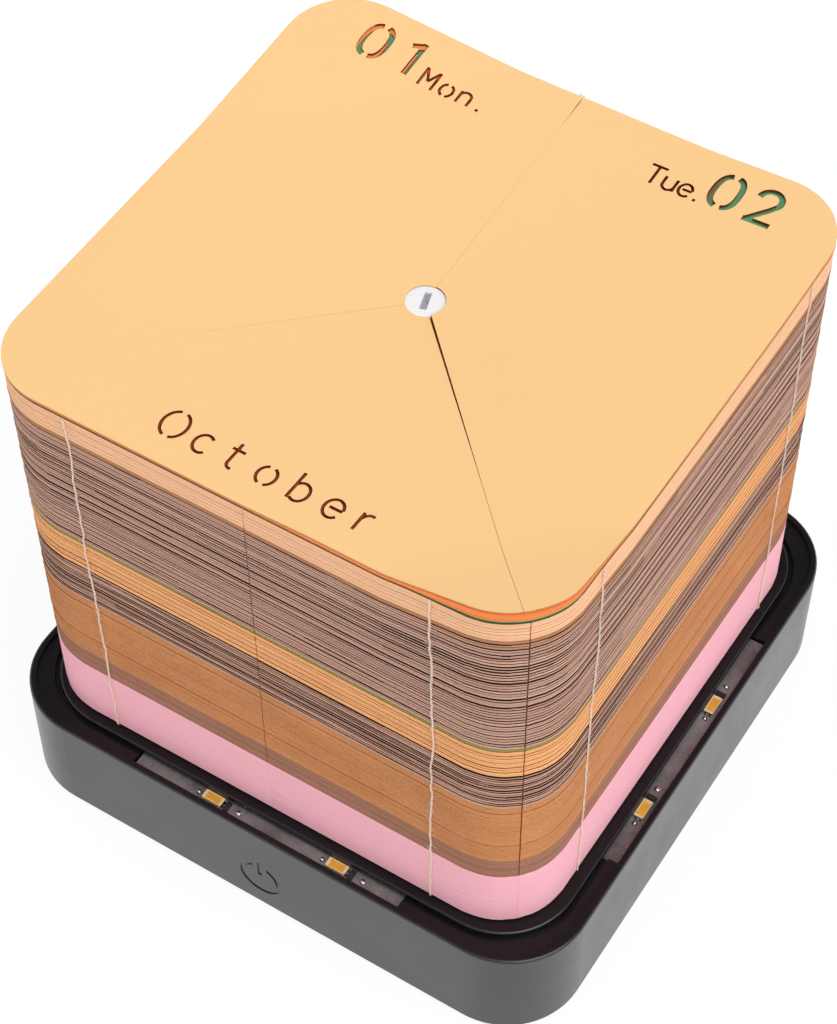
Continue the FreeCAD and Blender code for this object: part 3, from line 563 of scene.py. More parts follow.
def track_board(name, mask, copper):
    """Green solder mask with paler tracks under it."""
    material, tree = shader(name, Coat_Weight=0.3)
    sockets = {"Vector": object_place(tree), "Scale": 260.0, "Distortion": 9.0, "Detail": 1.0}
    tracks = add(tree, "ShaderNodeTexWave", sockets).outputs["Fac"]
    share = ranged(tree, tracks, 0.55, 0.62, 0.0, 0.8)
    rough = ranged(tree, share, 0.0, 1.0, 0.35, 0.25)
    feed(material, Base_Color=mix(tree, share, mask, copper), Roughness=rough, Normal=bump(tree, share, 0.03 * MM))
    return material


# ---------------------------------------------------------------- settings


def colour_setting(name, description, default):
    """A colour that a user may change."""
    return bpy.props.FloatVectorProperty(
        name=name, description=description, subtype="COLOR", size=3, min=0.0, max=1.0, default=ink(*default)
    )


def length_setting(name, description, millimetres):
    """A length that a user may change, kept in metres."""
    return bpy.props.FloatProperty(
        name=name, description=description, subtype="DISTANCE", unit="LENGTH", default=millimetres * MM, precision=5
    )


class PaperColours(bpy.types.PropertyGroup):
    """Colours of the leaves, from the top down."""

    top: colour_setting("Top leaf", "Face of the top leaf", (255, 208, 146))
    orange: colour_setting("Orange leaf", "Face of the leaf under the top one", (253, 150, 86))
    green: colour_setting("Green leaf", "Face of the leaf under the orange one", (112, 168, 120))
    scorch: colour_setting("Scorched edge", "Edges that the cutting beam left", (84, 38, 20))
    peach: colour_setting("Peach leaves", "Edges of the peach leaves", (255, 204, 162))
    mauve: colour_setting("Mauve leaves", "Edges of the mauve leaves", (220, 175, 152))
    olive: colour_setting("Olive leaf", "Edge of the olive leaf", (176, 160, 92))
    amber: colour_setting("Amber leaves", "Edges of the amber leaves", (255, 190, 130))
    umber: colour_setting("Umber leaves", "Edges of the umber leaves", (214, 168, 144))
    caramel: colour_setting("Caramel leaves", "Edges of the caramel leaves", (214, 148, 98))
    taupe: colour_setting("Taupe leaves", "Edges of the taupe leaves", (180, 126, 102))
    pink: colour_setting("Pink leaves", "Edges of the pink leaves", (255, 190, 202))
    base: colour_setting("Base leaf", "Edge of the pale green leaf under the block", (120, 148, 104))
    cotton: colour_setting("Thread", "Cotton of the binding threads", (242, 222, 202))


class BlockSizes(bpy.types.PropertyGroup):
    """How the block of leaves is trimmed and how it sits."""

    half_x: length_setting("Half width", "Middle of the block to its right face", 44.95)
    half_y: length_setting("Half depth", "Middle of the block to its front face", 44.6)
    corner: length_setting("Corner radius", "Round of the block's upright corners", 10.9)
    lean_x: length_setting("Lean right", "Top of the block moved to the right", 0.24)
    lean_y: length_setting("Lean back", "Top of the block moved back", -1.54)
    shift: length_setting("Shift", "Block off the middle of its base, to the right", -0.8)
    skew: length_setting("Skew", "Right face further out at the back than at the front", 0.7)
    curl: length_setting("Curl", "Rise of the upper leaves at their most curled corner", 2.3)
    front_drop: length_setting("Front drop", "Front edge of the top leaf below its plain height", 2.02)
    dish: length_setting("Dish", "Sag of the upper leaves at the centre", 2.6)
    dish_radius: length_setting("Dish radius", "Centre to where the upper leaves lie flat", 44.0)
    notch: length_setting("Nick", "Depth of the tear nicks in the edges", 0.4)
    sheet: length_setting("Sheet", "Thickness of the top leaf's paper", 0.4)
    slit: length_setting("Open slit", "Widest gap between two panels of the top leaf", 0.26)
    gape: length_setting("Back gape", "Gap at the outer end of the slit between the two day panels", 0.13)


class LetterSizes(bpy.types.PropertyGroup):
    """Strokes of the cut lettering."""

    numeral_height: length_setting("Numeral height", "Middle line of a numeral, foot to head", 6.35)
    numeral_stroke: length_setting("Numeral stroke", "Width of a numeral's stroke", 0.96)
    month_height: length_setting("Month height", "Middle line of a small letter of the month", 3.3)
    month_stroke: length_setting("Month stroke", "Width of a stroke of the month", 0.48)
    weekday_height: length_setting("Weekday height", "Middle line of a small letter of a weekday", 2.42)
    weekday_stroke: length_setting("Weekday stroke", "Width of a stroke of a weekday", 0.46)
    bridge: length_setting("Bridge", "Paper left across a closed letter", 0.34)


class ThreadSizes(bpy.types.PropertyGroup):
    """Cotton threads glued down the faces."""

    place: length_setting("Thread place", "Middle of a face to a thread", 29.0)
    ply: length_setting("Ply", "Radius of one of a thread's two plies", 0.105)
    turn: length_setting("Turn", "Length of one turn of the twist", 1.15)
    wander: length_setting("Wander", "How far a thread strays from its line", 0.32)


class BaseFinish(bpy.types.PropertyGroup):
    """Finishes of the lit base."""

    plastic: colour_setting("Housing", "Charcoal plastic of the housing", (17, 14, 15))
    cover: colour_setting("Cover", "Plastic of the bottom cover", (38, 34, 35))
    rubber: colour_setting("Feet", "Rubber of the feet", (30, 29, 30))
    strip: colour_setting("Lamp strip", "Lacquer of the lamp strips", (150, 142, 142))
    lamp: colour_setting("Lamp", "Phosphor of a lamp that is off", (240, 178, 44))


class CalendarSettings(bpy.types.PropertyGroup):
    """All settings of the calendar."""

    papers: bpy.props.PointerProperty(name="Papers", description="Colours of the leaves", type=PaperColours)
    block: bpy.props.PointerProperty(name="Block", description="Shape of the block of leaves", type=BlockSizes)
    letters: bpy.props.PointerProperty(name="Lettering", description="Strokes of the lettering", type=LetterSizes)
    threads: bpy.props.PointerProperty(name="Threads", description="Binding threads", type=ThreadSizes)
    base: bpy.props.PointerProperty(name="Base", description="Finishes of the base", type=BaseFinish)


# ---------------------------------------------------------------- leaves


SIDE_PARTS = 16  # divisions of a leaf's straight sides
BAND_CORNER_PARTS = 14  # divisions of the round corners of the leaves in the bands
TOP_CORNER_PARTS = 20  # and of the upper leaves
PLAIN_BAND = dict(
    trim=0.04, wavy=0.01, uneven=0.25, set_back=0.0, stretch=0.0, drop=0.0, sag=(0.0, 0.0), strays=(0, 0),
    strays_right=False, speckle=0.12, blush=0.2,
)
BANDS = {
    # gap and wide gap in mm, leaves between wide gaps, share of a nick, range of tones, what differs from a plain
    # band, and the shades of its dark tone, its warm patches and the painted shade on the faces inside its gaps
    "base_leaf": dict(
        gap=(0.36, 0.37), wide_gap=(0.36, 0.37), clump=(3,), nick=0.0, tone=(0.6, 0.9), trim=0.02, wavy=0.0,
        set_back=0.2, shades=((96, 124, 84), (120, 140, 90), (60, 76, 50)),
    ),
    "pink_leaves": dict(
        gap=(0.0, 0.002), wide_gap=(0.003, 0.008), clump=(5, 7), nick=0.16, tone=(0.7, 0.76), trim=0.008, wavy=0.0,
        speckle=0.02, blush=0.06, drop=0.36, shades=((252, 182, 196), (246, 172, 178), (232, 158, 172)),
    ),
    "taupe_leaves": dict(
        gap=(0.02, 0.05), wide_gap=(0.05, 0.09), clump=(2, 3), nick=0.5, tone=(0.4, 0.8), speckle=0.16, blush=0.25,
        shades=((146, 102, 84), (130, 108, 78), (84, 52, 42)),
    ),
    "caramel_leaves": dict(
        gap=(0.01, 0.05), wide_gap=(0.04, 0.07), clump=(2, 3, 4), nick=0.9, tone=(0.5, 0.8), speckle=0.3, blush=0.3,
        uneven=0.9, shades=((188, 122, 76), (176, 108, 56), (146, 90, 54)),
    ),
    "umber_leaves": dict(
        gap=(0.2, 0.26), wide_gap=(0.3, 0.39), clump=(1, 2, 2), nick=0.9, tone=(0.4, 1.0), trim=0.045, wavy=0.03,
        speckle=0.16, uneven=0.6, shades=((166, 122, 106), (170, 112, 78), (40, 25, 22)),
    ),
    "amber_leaves": dict(
        gap=(0.14, 0.18), wide_gap=(0.18, 0.24), clump=(1, 2, 3), nick=0.9, tone=(0.6, 0.9), speckle=0.08, blush=0.15,
        uneven=0.4, shades=((238, 160, 104), (224, 140, 74), (166, 98, 60)),
    ),
    "olive_leaf": dict(
        gap=(0.12, 0.14), wide_gap=(0.12, 0.14), clump=(2,), nick=0.4, tone=(0.4, 0.6), wavy=0.0,
        shades=((130, 128, 66), (150, 140, 70), (80, 80, 44)),
    ),
    "mauve_leaves": dict(
        gap=(0.19, 0.25), wide_gap=(0.27, 0.35), clump=(1, 2, 2, 3), nick=1.0, tone=(0.45, 1.0), trim=0.03,
        speckle=0.16, blush=0.15, sag=(0.0, 0.94), strays=(0, 2), strays_right=True, stray=(192, 142, 108),
        shades=((176, 134, 120), (176, 120, 92), (46, 31, 29)),
    ),
    "peach_leaves": dict(
        gap=(0.08, 0.12), wide_gap=(0.1, 0.14), clump=(2, 3), nick=0.6, tone=(0.6, 0.95), speckle=0.06, blush=0.1,
        sag=(0.94, 0.06), stretch=0.96, strays=(1, 0), stray=(176, 122, 86),
        shades=((246, 184, 138), (236, 164, 116), (206, 122, 90)),
    ),
}


def leaf_blank(name, thickness, side_parts, corner_parts, chamfer):
    """A square leaf with round corners and divided sides, resting on z = 0."""
    shape = settings().block
    clear_selection()
    bpy.ops.mesh.primitive_plane_add(size=2, location=(0, 0, 0))
    leaf = bpy.context.object
    leaf.name = name
    bpy.ops.object.mode_set(mode="EDIT")
    bpy.ops.mesh.select_all(action="SELECT")
    bpy.ops.transform.resize(value=(shape.half_x, shape.half_y, 1))
    bpy.ops.mesh.bevel(offset=shape.corner, segments=corner_parts, affect="VERTICES")
    pick(leaf, "edges", lambda edge: edge.calc_length() > 30 * MM)
    bpy.ops.mesh.subdivide(number_cuts=side_parts - 1)
    bpy.ops.mesh.select_all(action="SELECT")
    bpy.ops.mesh.extrude_region_move(TRANSFORM_OT_translate={"value": (0, 0, thickness)})
    bpy.ops.mesh.select_all(action="SELECT")
    bpy.ops.mesh.normals_make_consistent(inside=False)
    if chamfer:
        pick(leaf, "edges", lambda edge: all(v.co.z > thickness * 0.9 for v in edge.verts))
        bpy.ops.mesh.bevel(offset=chamfer, segments=1, affect="EDGES")
    bpy.ops.object.mode_set(mode="OBJECT")
    return leaf


def point_faces(leaf):
    """Gives both faces of a leaf two rings and a point in their middles, so that the leaf can curl and sag."""
    edit(leaf)
    pick(leaf, "faces", lambda face: abs(face.normal.z) > 0.9 and len(face.verts) > 40)
    bpy.ops.mesh.inset(thickness=1.2 * MM)
    bpy.ops.mesh.inset(thickness=9 * MM)
    bpy.ops.mesh.poke()
    bpy.ops.object.mode_set(mode="OBJECT")


def gather_nicks(rows, nick, side_parts, corner_parts):
    """Slides the points next to the middles of the sides and corners close to them, for the tear nicks."""
    core_x, core_y = half = core()
    corner, part = settings().block.corner, math.pi / 2 / corner_parts
    for row in rows:
        over_x, over_y = abs(row[0]) - core_x, abs(row[1]) - core_y
        if over_x > SAME and over_y > SAME:
            angle = math.atan2(over_y, over_x) - math.pi / 4
            reach = math.hypot(over_x, over_y)
            if 1e-4 < abs(angle) < part * 1.5:
                angle = math.copysign(nick / corner, angle) + math.pi / 4
                row[0] = math.copysign(core_x + reach * math.cos(angle), row[0])
                row[1] = math.copysign(core_y + reach * math.sin(angle), row[1])
        else:
            along = 0 if over_y > over_x else 1
            if SAME < abs(row[along]) < half[along] / side_parts * 3:
                row[along] = math.copysign(nick, row[along])
    return rows


def nick_depths(rows, depths):
    """A depth at each nicked place: the front and back middles, the right front corner and the left one."""
    over = np.abs(rows[:, :2]) - core()
    corner = (np.abs(over[:, 0] - over[:, 1]) < 2 * SAME) & (rows[:, 1] < 0)
    found = np.where(np.abs(rows[:, 0]) < SAME, depths[0], 0)
    return found + np.where(corner, np.where(rows[:, 0] > 0, depths[1], depths[2]), 0)


def leaf_stack(blank, name, level, pitch, count, look, chance):
    """A band of leaves, each a copy of the blank with its own trim, gap, waviness and tone."""
    shape = settings().block
    plain = corners_of(blank)
    through = plain[:, 2] / plain[:, 2].max()
    way, in_corner = outward_of(plain)
    upper = through > 0.5
    right = np.clip((plain[:, 0] / MM - 20) / 20, 0, 1)
    curled = np.where(out_of_core(plain) < 5 * MM, 0.0, 1.0)
    leaves = []
    until_gap = 2
    for index in range(count):
        until_gap -= 1
        wide = until_gap <= 0
        if wide:
            until_gap = chance.choice(look["clump"])
        gap = chance.uniform(*look["wide_gap" if wide else "gap"])
        seed = chance.uniform(0, 900)
        ripple = wave(plain, 21 * MM, seed)
        fine = wave(plain, 6 * MM, seed + 31)

        out = chance.gauss(0, look["trim"]) * MM + 0.5 * ripple * look["trim"] * MM
        out = np.clip(out - np.where(in_corner, 0.1 * MM, 0), -0.4 * MM, 0.2 * MM)
        scar = nick_depths(plain, [chance.uniform(0.7, 1) * look["nick"] for _ in range(3)])
        rows = plain.copy()
        rows[:, :2] += way * (out - scar * shape.notch - look["set_back"] * MM)[:, None]
        for axis in (0, 1):
            rows[:, axis] += chance.gauss(0, look["trim"] * 0.3) * MM

        uneven = 1 + look["uneven"] * (ripple + 0.7 * fine)
        high = pitch - np.clip(gap * uneven, 0.0, 0.66 * pitch / MM) * MM
        rows[:, 2] = level + index * pitch + through * high
        if 0 < index < count - 1:
            rows[:, 2] += (0.5 * ripple + 0.3 * fine) * look["wavy"] * MM
        place = (index + through) / count
        rows[:, 2] += look["stretch"] * MM * place * (1 - open_corner(rows))
        rows[:, 2] -= look["drop"] * MM * (1 - place)
        leaf = copy_of(blank, f"{name}_{index}")
        sag, more_sag = look["sag"]
        put_corners(leaf, settled(rows, sag + more_sag * index / count, curled))

        tone = chance.uniform(*look["tone"]) + 0.1 * fine
        # random tone of each leaf, less 0.15 on its lower points: painted shade towards the gap under it
        set_layer(leaf, "tone", np.clip(tone - np.where(upper, 0, 0.15), 0, 1))
        # the nicks' painted shade, stronger on each leaf's lower points
        set_layer(leaf, "scar", np.clip(scar * np.where(upper, 0.25, 1.5), 0, 1))
        below, above = look["strays"]
        side = right if look["strays_right"] else 1.0
        stray = (index < below) * 1.0 + (count - 1 - index < above) * side
        set_layer(leaf, "stray", stray * chance.uniform(0.75, 1.0) * np.ones(len(plain)))
        leaves.append(leaf)
    return joined(leaves, name)


class CALENDAR_OT_leaf_bands(bpy.types.Operator):
    """Stack the bands of coloured leaves from single leaves"""

    bl_idname = "calendar.leaf_bands"
    bl_label = "Leaf bands"

    def execute(self, context):
        low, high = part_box("olive_leaf")
        pitch = high.z - low.z
        blank = leaf_blank("leaf_blank", pitch, SIDE_PARTS, BAND_CORNER_PARTS, 0.05 * MM)
        point_faces(blank)
        put_corners(blank, gather_nicks(corners_of(blank), 0.11 * MM, SIDE_PARTS, BAND_CORNER_PARTS))
        chance = random.Random(41)
        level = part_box("base_leaf")[0].z
        for node, own_look in BANDS.items():
            look = {**PLAIN_BAND, **own_look}
            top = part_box(node)[1].z
            count = round((top - level) / pitch)
            band = leaf_stack(blank, node.replace("_", "-"), level, pitch, count, look, chance)
            level = top
            key = node.split("_")[0]
            light = getattr(settings().papers, key)
            dark, warm, inside = (ink(*shade) for shade in look["shades"])
            stray = ink(*look["stray"]) if "stray" in look else None
            edges = leaf_edges(f"{key}_paper_edges", light, dark, warm, stray, look["speckle"], look["blush"])
            # the level faces inside the gaps get a dark colour: painted shade between the leaves
            dress(band, edges, paper_face(f"{key}_paper_inside", inside, 0.08))
            paint_flats(band)
            smooth(band, 25)
            finish_piece(band, "base", [node])
        bpy.data.objects.remove(blank, do_unlink=True)
        return {"FINISHED"}


# ---------------------------------------------------------------- cut lettering


CUT_REACH = 3 * MM  # half the height of a cutting ribbon
GRID_REACH = 48 * MM  # how far from the middle a leaf is divided
GRID_SHIFT = 0.37  # share of a step by which the divisions miss the middle


def arc(x, y, wide, high, start, stop, count=14):
    """Points of an elliptical arc, in degrees from +X."""
    turns = [math.radians(start + (stop - start) * i / count) for i in range(count + 1)]
    return [(x + wide * math.cos(t), y + high * math.sin(t)) for t in turns]


def hoop(x, y, wide, high, gap, square=2.0):
    """Two halves of a closed letter, with paper left between them at the top and the bottom."""
    halves = []
    for start in (90 + gap, -90 + gap):
        turns = [math.radians(start + (180 - 2 * gap) * i / 18) for i in range(19)]
        bulge = [[math.copysign(abs(side) ** (2 / square), side) for side in (math.cos(t), math.sin(t))] for t in turns]
        halves.append([(x + wide * c, y + high * s) for c, s in bulge])
    return halves


def letter(sign):
    """Strokes of a letter whose small height is 1, drawn round x = 0 and standing on y = 0."""
    stem = [(-0.38, 0.6)] + arc(0.0, 0.62, 0.38, 0.38, 165, 0, 10) + [(0.38, 0.0)]
    hook = [(-0.08, 1.38), (-0.08, 0.3)] + arc(0.16, 0.26, 0.24, 0.26, 180, 285, 7)
    swan = [(-0.27, 0.74)] + arc(0.0, 0.72, 0.27, 0.27, 150, -20, 14) + [(0.12, 0.44), (-0.26, 0.0)]
    shapes = {
        "O": hoop(0, 0.73, 0.56, 0.73, 13),
        "c": [arc(0.05, 0.5, 0.4, 0.5, 48, 312, 20)],
        "t": [hook, [(-0.32, 1.0), (0.3, 1.0)]],
        "o": hoop(0, 0.5, 0.42, 0.5, 17),
        "b": [[(-0.36, 1.48), (-0.36, 0.0)], arc(-0.02, 0.5, 0.4, 0.5, 148, -128, 22)],
        "e": [arc(0, 0.5, 0.41, 0.5, 8, 318, 24), [(-0.2, 0.52), (0.41, 0.52)]],
        "r": [[(-0.18, 1.0), (-0.18, 0.0)], [(-0.18, 0.62), (-0.08, 0.84), (0.1, 0.97), (0.3, 0.98)]],
        "M": [
            [(-0.46, 0.0), (-0.46, 1.46)],
            [(-0.42, 1.4), (0.0, 0.5)],
            [(0.0, 0.5), (0.42, 1.4)],
            [(0.46, 1.46), (0.46, 0.0)],
        ],
        "n": [[(-0.38, 1.0), (-0.38, 0.0)], stem],
        "T": [[(-0.52, 1.46), (0.52, 1.46)], [(0.0, 1.46), (0.0, 0.0)]],
        "u": [[(0.38, 1.0), (0.38, 0.0)], [(-0.38, 1.0)] + arc(0.0, 0.38, 0.38, 0.38, 180, 345, 10)],
        ".": [[(0.0, -0.06), (0.0, 0.14)]],
        "0": hoop(0, 0.5, 0.3, 0.5, 9, 2.5),
        "1": [[(-0.26, 0.85), (0.05, 1.0)], [(0.0, 1.05), (0.0, 0.0)]],
        "2": [swan, [(-0.32, 0.0), (0.33, 0.0)]],
    }
    return shapes[sign]


def lettering(groups):
    """Strokes of all the signs in some groups: (signs with their middles, foot line, height, stroke width)."""
    strokes = []
    for signs, foot, height, width in groups:
        for sign, middle in signs:
            for path in letter(sign):
                strokes.append(([(middle * MM + x * height, foot * MM + y * height) for x, y in path], width))
    return strokes


def calendar_strokes():
    """The strokes of the first numeral and weekday, of the second ones, and of the month."""
    cut = settings().letters
    first = lettering(
        [
            ((("0", -32.1), ("1", -25.3)), 34.7, cut.numeral_height, cut.numeral_stroke),
            ((("M", -21.5), ("o", -18.2), ("n", -15.1), (".", -12.4)), 34.25, cut.weekday_height, cut.weekday_stroke),
        ]
    )
    second = lettering(
        [
            ((("0", 26.8), ("2", 32.9)), 35.1, cut.numeral_height, cut.numeral_stroke),
            ((("T", 16.35), ("u", 18.95), ("e", 21.55), (".", 23.45)), 34.5, cut.weekday_height, cut.weekday_stroke),
        ]
    )
    signs = list(zip("October", (-15.3, -10.4, -5.5, -0.1, 5.2, 10.4, 14.9)))
    month = lettering([(signs, -40.4, cut.month_height, cut.month_stroke)])
    return first, second, month


def cut_strokes(piece, strokes, level, move=(0.0, 0.0)):
    """Cuts strokes through a leaf at a level, each as an upright ribbon thickened to its stroke's width."""
    for path, width in strokes:
        curve = bpy.data.curves.new("stroke", "CURVE")
        curve.dimensions = "2D"
        curve.fill_mode = "NONE"
        curve.extrude = CUT_REACH
        line = curve.splines.new("POLY")
        line.points.add(len(path) - 1)
        for point, (x, y) in zip(line.points, path):
            point.co = (x + move[0] * MM, y + move[1] * MM, 0, 1)
        ribbon = bpy.data.objects.new("stroke", curve)
        bpy.context.scene.collection.objects.link(ribbon)
        ribbon.location.z = level
        work_on(ribbon)
        bpy.ops.object.convert(target="MESH")
        settle_place(ribbon)
        wall = ribbon.modifiers.new("width", "SOLIDIFY")
        wall.thickness = width
        wall.offset = 0
        wall.use_even_offset = True
        bpy.ops.object.modifier_apply(modifier=wall.name)
        carve(piece, ribbon)


def lay_grid(piece, step):
    """Divides a leaf by straight cuts, so that it can be dished."""
    edit(piece)
    count = int(GRID_REACH / step)
    for axis in ((1, 0, 0), (0, 1, 0)):
        for index in range(-count, count + 1):
            place = tuple(part * (index + GRID_SHIFT) * step for part in axis)
            bpy.ops.mesh.select_all(action="SELECT")
            bpy.ops.mesh.bisect(plane_co=place, plane_no=axis)
    bpy.ops.object.mode_set(mode="OBJECT")


def mark_cut_faces(piece):
    """Gives the upright faces of the cuts the second material, and the outer rim the third."""
    shape = settings().block
    core_x, core_y = core()
    for face in piece.data.polygons:
        if abs(face.normal.z) < 0.5:
            x, y = abs(face.center.x), abs(face.center.y)
            rim = max(x / shape.half_x, y / shape.half_y) > 0.97
            face.material_index = 2 if rim or (x > core_x and y > core_y) else 1


# ---------------------------------------------------------------- upper leaves


def upper_leaf(name, pressed, fanned, strokes=(), moves=()):
    """A whole leaf near the top, dished like the ones above it, with cut lettering of its own.

    pressed and fanned are its bottom and top over the peach leaves, away from the open corner and at it.
    """
    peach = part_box("peach_leaves")[1].z
    pressed, fanned = ([peach + level * MM for level in levels] for levels in (pressed, fanned))
    thickness = fanned[1] - fanned[0]
    leaf = leaf_blank(name, thickness, SIDE_PARTS, TOP_CORNER_PARTS, 0.04 * MM)
    edit(leaf)
    bpy.ops.mesh.select_all(action="SELECT")
    bpy.ops.transform.translate(value=(0, 0, fanned[0]))
    bpy.ops.object.mode_set(mode="OBJECT")
    for group, move in zip(strokes, moves):
        cut_strokes(leaf, group, fanned[1], move)
    mark_cut_faces(leaf)
    lay_grid(leaf, 4 * MM)
    rows = corners_of(leaf)
    open_share = open_corner(rows)
    through = (rows[:, 2] - fanned[0]) / thickness
    low = pressed[0] + (fanned[0] - pressed[0]) * open_share
    high = pressed[1] + (fanned[1] - pressed[1]) * open_share
    rows[:, 2] = low + through * (high - low)
    rim = out_of_core(rows) > settings().block.corner - RIM
    front = np.clip(-rows[:, 1] / (20 * MM), 0, 1)
    rows[:, :2] -= outward_of(rows)[0] * (rim * 0.12 * MM * (1 - open_share) * front)[:, None]
    put_corners(leaf, settled(rows))
    smooth(leaf, 25)
    return leaf


class CALENDAR_OT_upper_leaves(bpy.types.Operator):
    """Make the orange and the green leaf under the top one"""

    bl_idname = "calendar.upper_leaves"
    bl_label = "Orange and green leaves"

    def execute(self, context):
        papers = settings().papers
        way = slit_way("right")
        slit = [([tuple(way * 3.5 * MM), tuple(way * 34 * MM)], 0.34 * MM)]
        moves = ((0.28, -0.72), (-0.16, 0.26), (0.14, -0.02), (0.0, 0.0))
        orange = upper_leaf("orange-leaf", (1.16, 1.36), (0.62, 1.32), (*calendar_strokes(), slit), moves)
        rim = leaf_edges("orange_paper_edges", ink(255, 164, 92), ink(244, 140, 72), ink(230, 118, 54))
        browned = leaf_edges("orange_paper_cuts", ink(170, 64, 30), ink(150, 54, 24), ink(120, 44, 20))
        # the orange face carries painted shade, browned under the lettering and along the slit
        dress(orange, paper_face("orange_paper_face", papers.orange, 0.03, browned=ink(206, 84, 40)), browned, rim)
        finish_piece(orange, "base", ["orange_leaf"])
        green = upper_leaf("green-leaf", (0.98, 1.12), (0.06, 0.5))
        # the green leaf's edges and cut walls are painted dark green: painted shade under the orange leaf
        rim = leaf_edges("green_paper_edges", ink(50, 100, 62), ink(44, 84, 54), ink(34, 66, 40))
        # the green face carries the same painted shade under the lettering and the slit
        dress(green, paper_face("green_paper_face", papers.green, 0.04, browned=ink(150, 72, 38)), rim, rim)
        finish_piece(green, "base", ["green_leaf"])
        return {"FINISHED"}


def keep_sector(piece, ways, kerf):
    """Keeps the part of a leaf between two directions from its middle, given anticlockwise."""
    edit(piece)
    for way, side in zip(ways, (1, -1)):
        across = Vector((-way[1], way[0], 0)).normalized() * side
        bpy.ops.mesh.select_all(action="SELECT")
        bpy.ops.mesh.bisect(
            plane_co=across * kerf / 2, plane_no=across, use_fill=True, clear_inner=True, clear_outer=False
        )
    bpy.ops.object.mode_set(mode="OBJECT")


def open_slit(rows, sign):
    """Widens the slit to the right front corner near the disc, and lifts its back side over the disc."""
    way = slit_way("right")
    across = np.array([-way[1], way[0]])
    along = rows[:, :2] @ way
    off = rows[:, :2] @ across
    close = np.clip(1 - np.abs(off) / (1.5 * MM), 0, 1)
    share = np.where(along > 0, np.clip((34 * MM - along) / (26 * MM), 0, 1) ** 0.8, 0)
    rows[:, :2] += across * (sign * settings().block.slit / 2 * close * share)[:, None]
    if sign > 0:
        near = np.clip(1 - np.hypot(along - 2 * MM, off) / (9 * MM), 0, 1)
        rows[:, 2] += 0.34 * MM * near
    return rows


def open_back(rows):
    """Opens the outer end of the slit between the two day panels a little."""
    gape = np.clip((rows[:, 1] - 39 * MM) / (3 * MM), 0, 1) * (np.abs(rows[:, 0]) < 0.2 * MM)
    rows[:, 0] += np.sign(rows[:, 0]) * gape * settings().block.gape / 2
    return rows


def set_back(rows):
    """Trims the top leaf a little short round the right front corner, where the orange leaf shows."""
    way, _ = outward_of(rows)
    x, y = rows[:, 0] / MM, rows[:, 1] / MM
    front = 0.62 * np.clip((x - 23) / 12, 0, 1) + 0.38 * np.clip(x / 10, 0, 1)
    front = front * np.clip(-way[:, 1] * 1.6, 0, 1)
    right = np.clip((-y - 16) / 22, 0, 1) * np.clip(way[:, 0], 0, 1) * 0.45
    rim = out_of_core(rows) > settings().block.corner - RIM
    rows[:, :2] -= way * (rim * np.clip(np.maximum(front, right), 0, 1) * 0.66 * MM)[:, None]
    return rows


class CALENDAR_OT_top_panels(bpy.types.Operator):
    """Cut the top leaf into its three panels, with their lettering"""

    bl_idname = "calendar.top_panels"
    bl_label = "Panels of the top leaf"

    def execute(self, context):
        shape, papers = settings().block, settings().papers
        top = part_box("month_panel")[1].z
        face = paper_face("top_paper_face", papers.top, 0.012)
        browned = leaf_edges("top_paper_cuts", papers.scorch, ink(122, 58, 30), ink(150, 76, 38))
        rim = leaf_edges("top_paper_edges", ink(246, 198, 140), ink(214, 150, 98), ink(200, 128, 76))
        whole = leaf_blank("top_blank", shape.sheet, SIDE_PARTS, TOP_CORNER_PARTS, 0)
        rows = gather_nicks(corners_of(whole), 0.3 * MM, SIDE_PARTS, TOP_CORNER_PARTS)
        put_corners(whole, rows + np.array([0, 0, top - shape.sheet]))
        # body, the slits it lies between, and its side of the open slit
        plan = (("day_one", ("back", "left"), 0), ("day_two", ("right", "back"), 1), ("month", ("left", "right"), -1))
        for (body, sides, slit_side), strokes in zip(plan, calendar_strokes()):
            node = f"{body}_panel"
            panel = copy_of(whole, node.replace("_", "-"))
            keep_sector(panel, [SLITS[side] for side in sides], 0.05 * MM)
            cut_strokes(panel, strokes, top)
            carve(panel, solid("cylinder", "hole", vertices=48, radius=2.9 * MM, depth=6 * MM, location=(0, 0, top)))
            mark_cut_faces(panel)
            lay_grid(panel, 3 * MM)
            rows = open_back(set_back(corners_of(panel)))
            if slit_side:
                rows = open_slit(rows, slit_side)
            put_corners(panel, settled(rows))
            dress(panel, face, browned, rim)
            smooth(panel, 25)
            finish_piece(panel, body, [node])
        bpy.data.objects.remove(whole, do_unlink=True)
        return {"FINISHED"}


# ---------------------------------------------------------------- disc, blade and threads


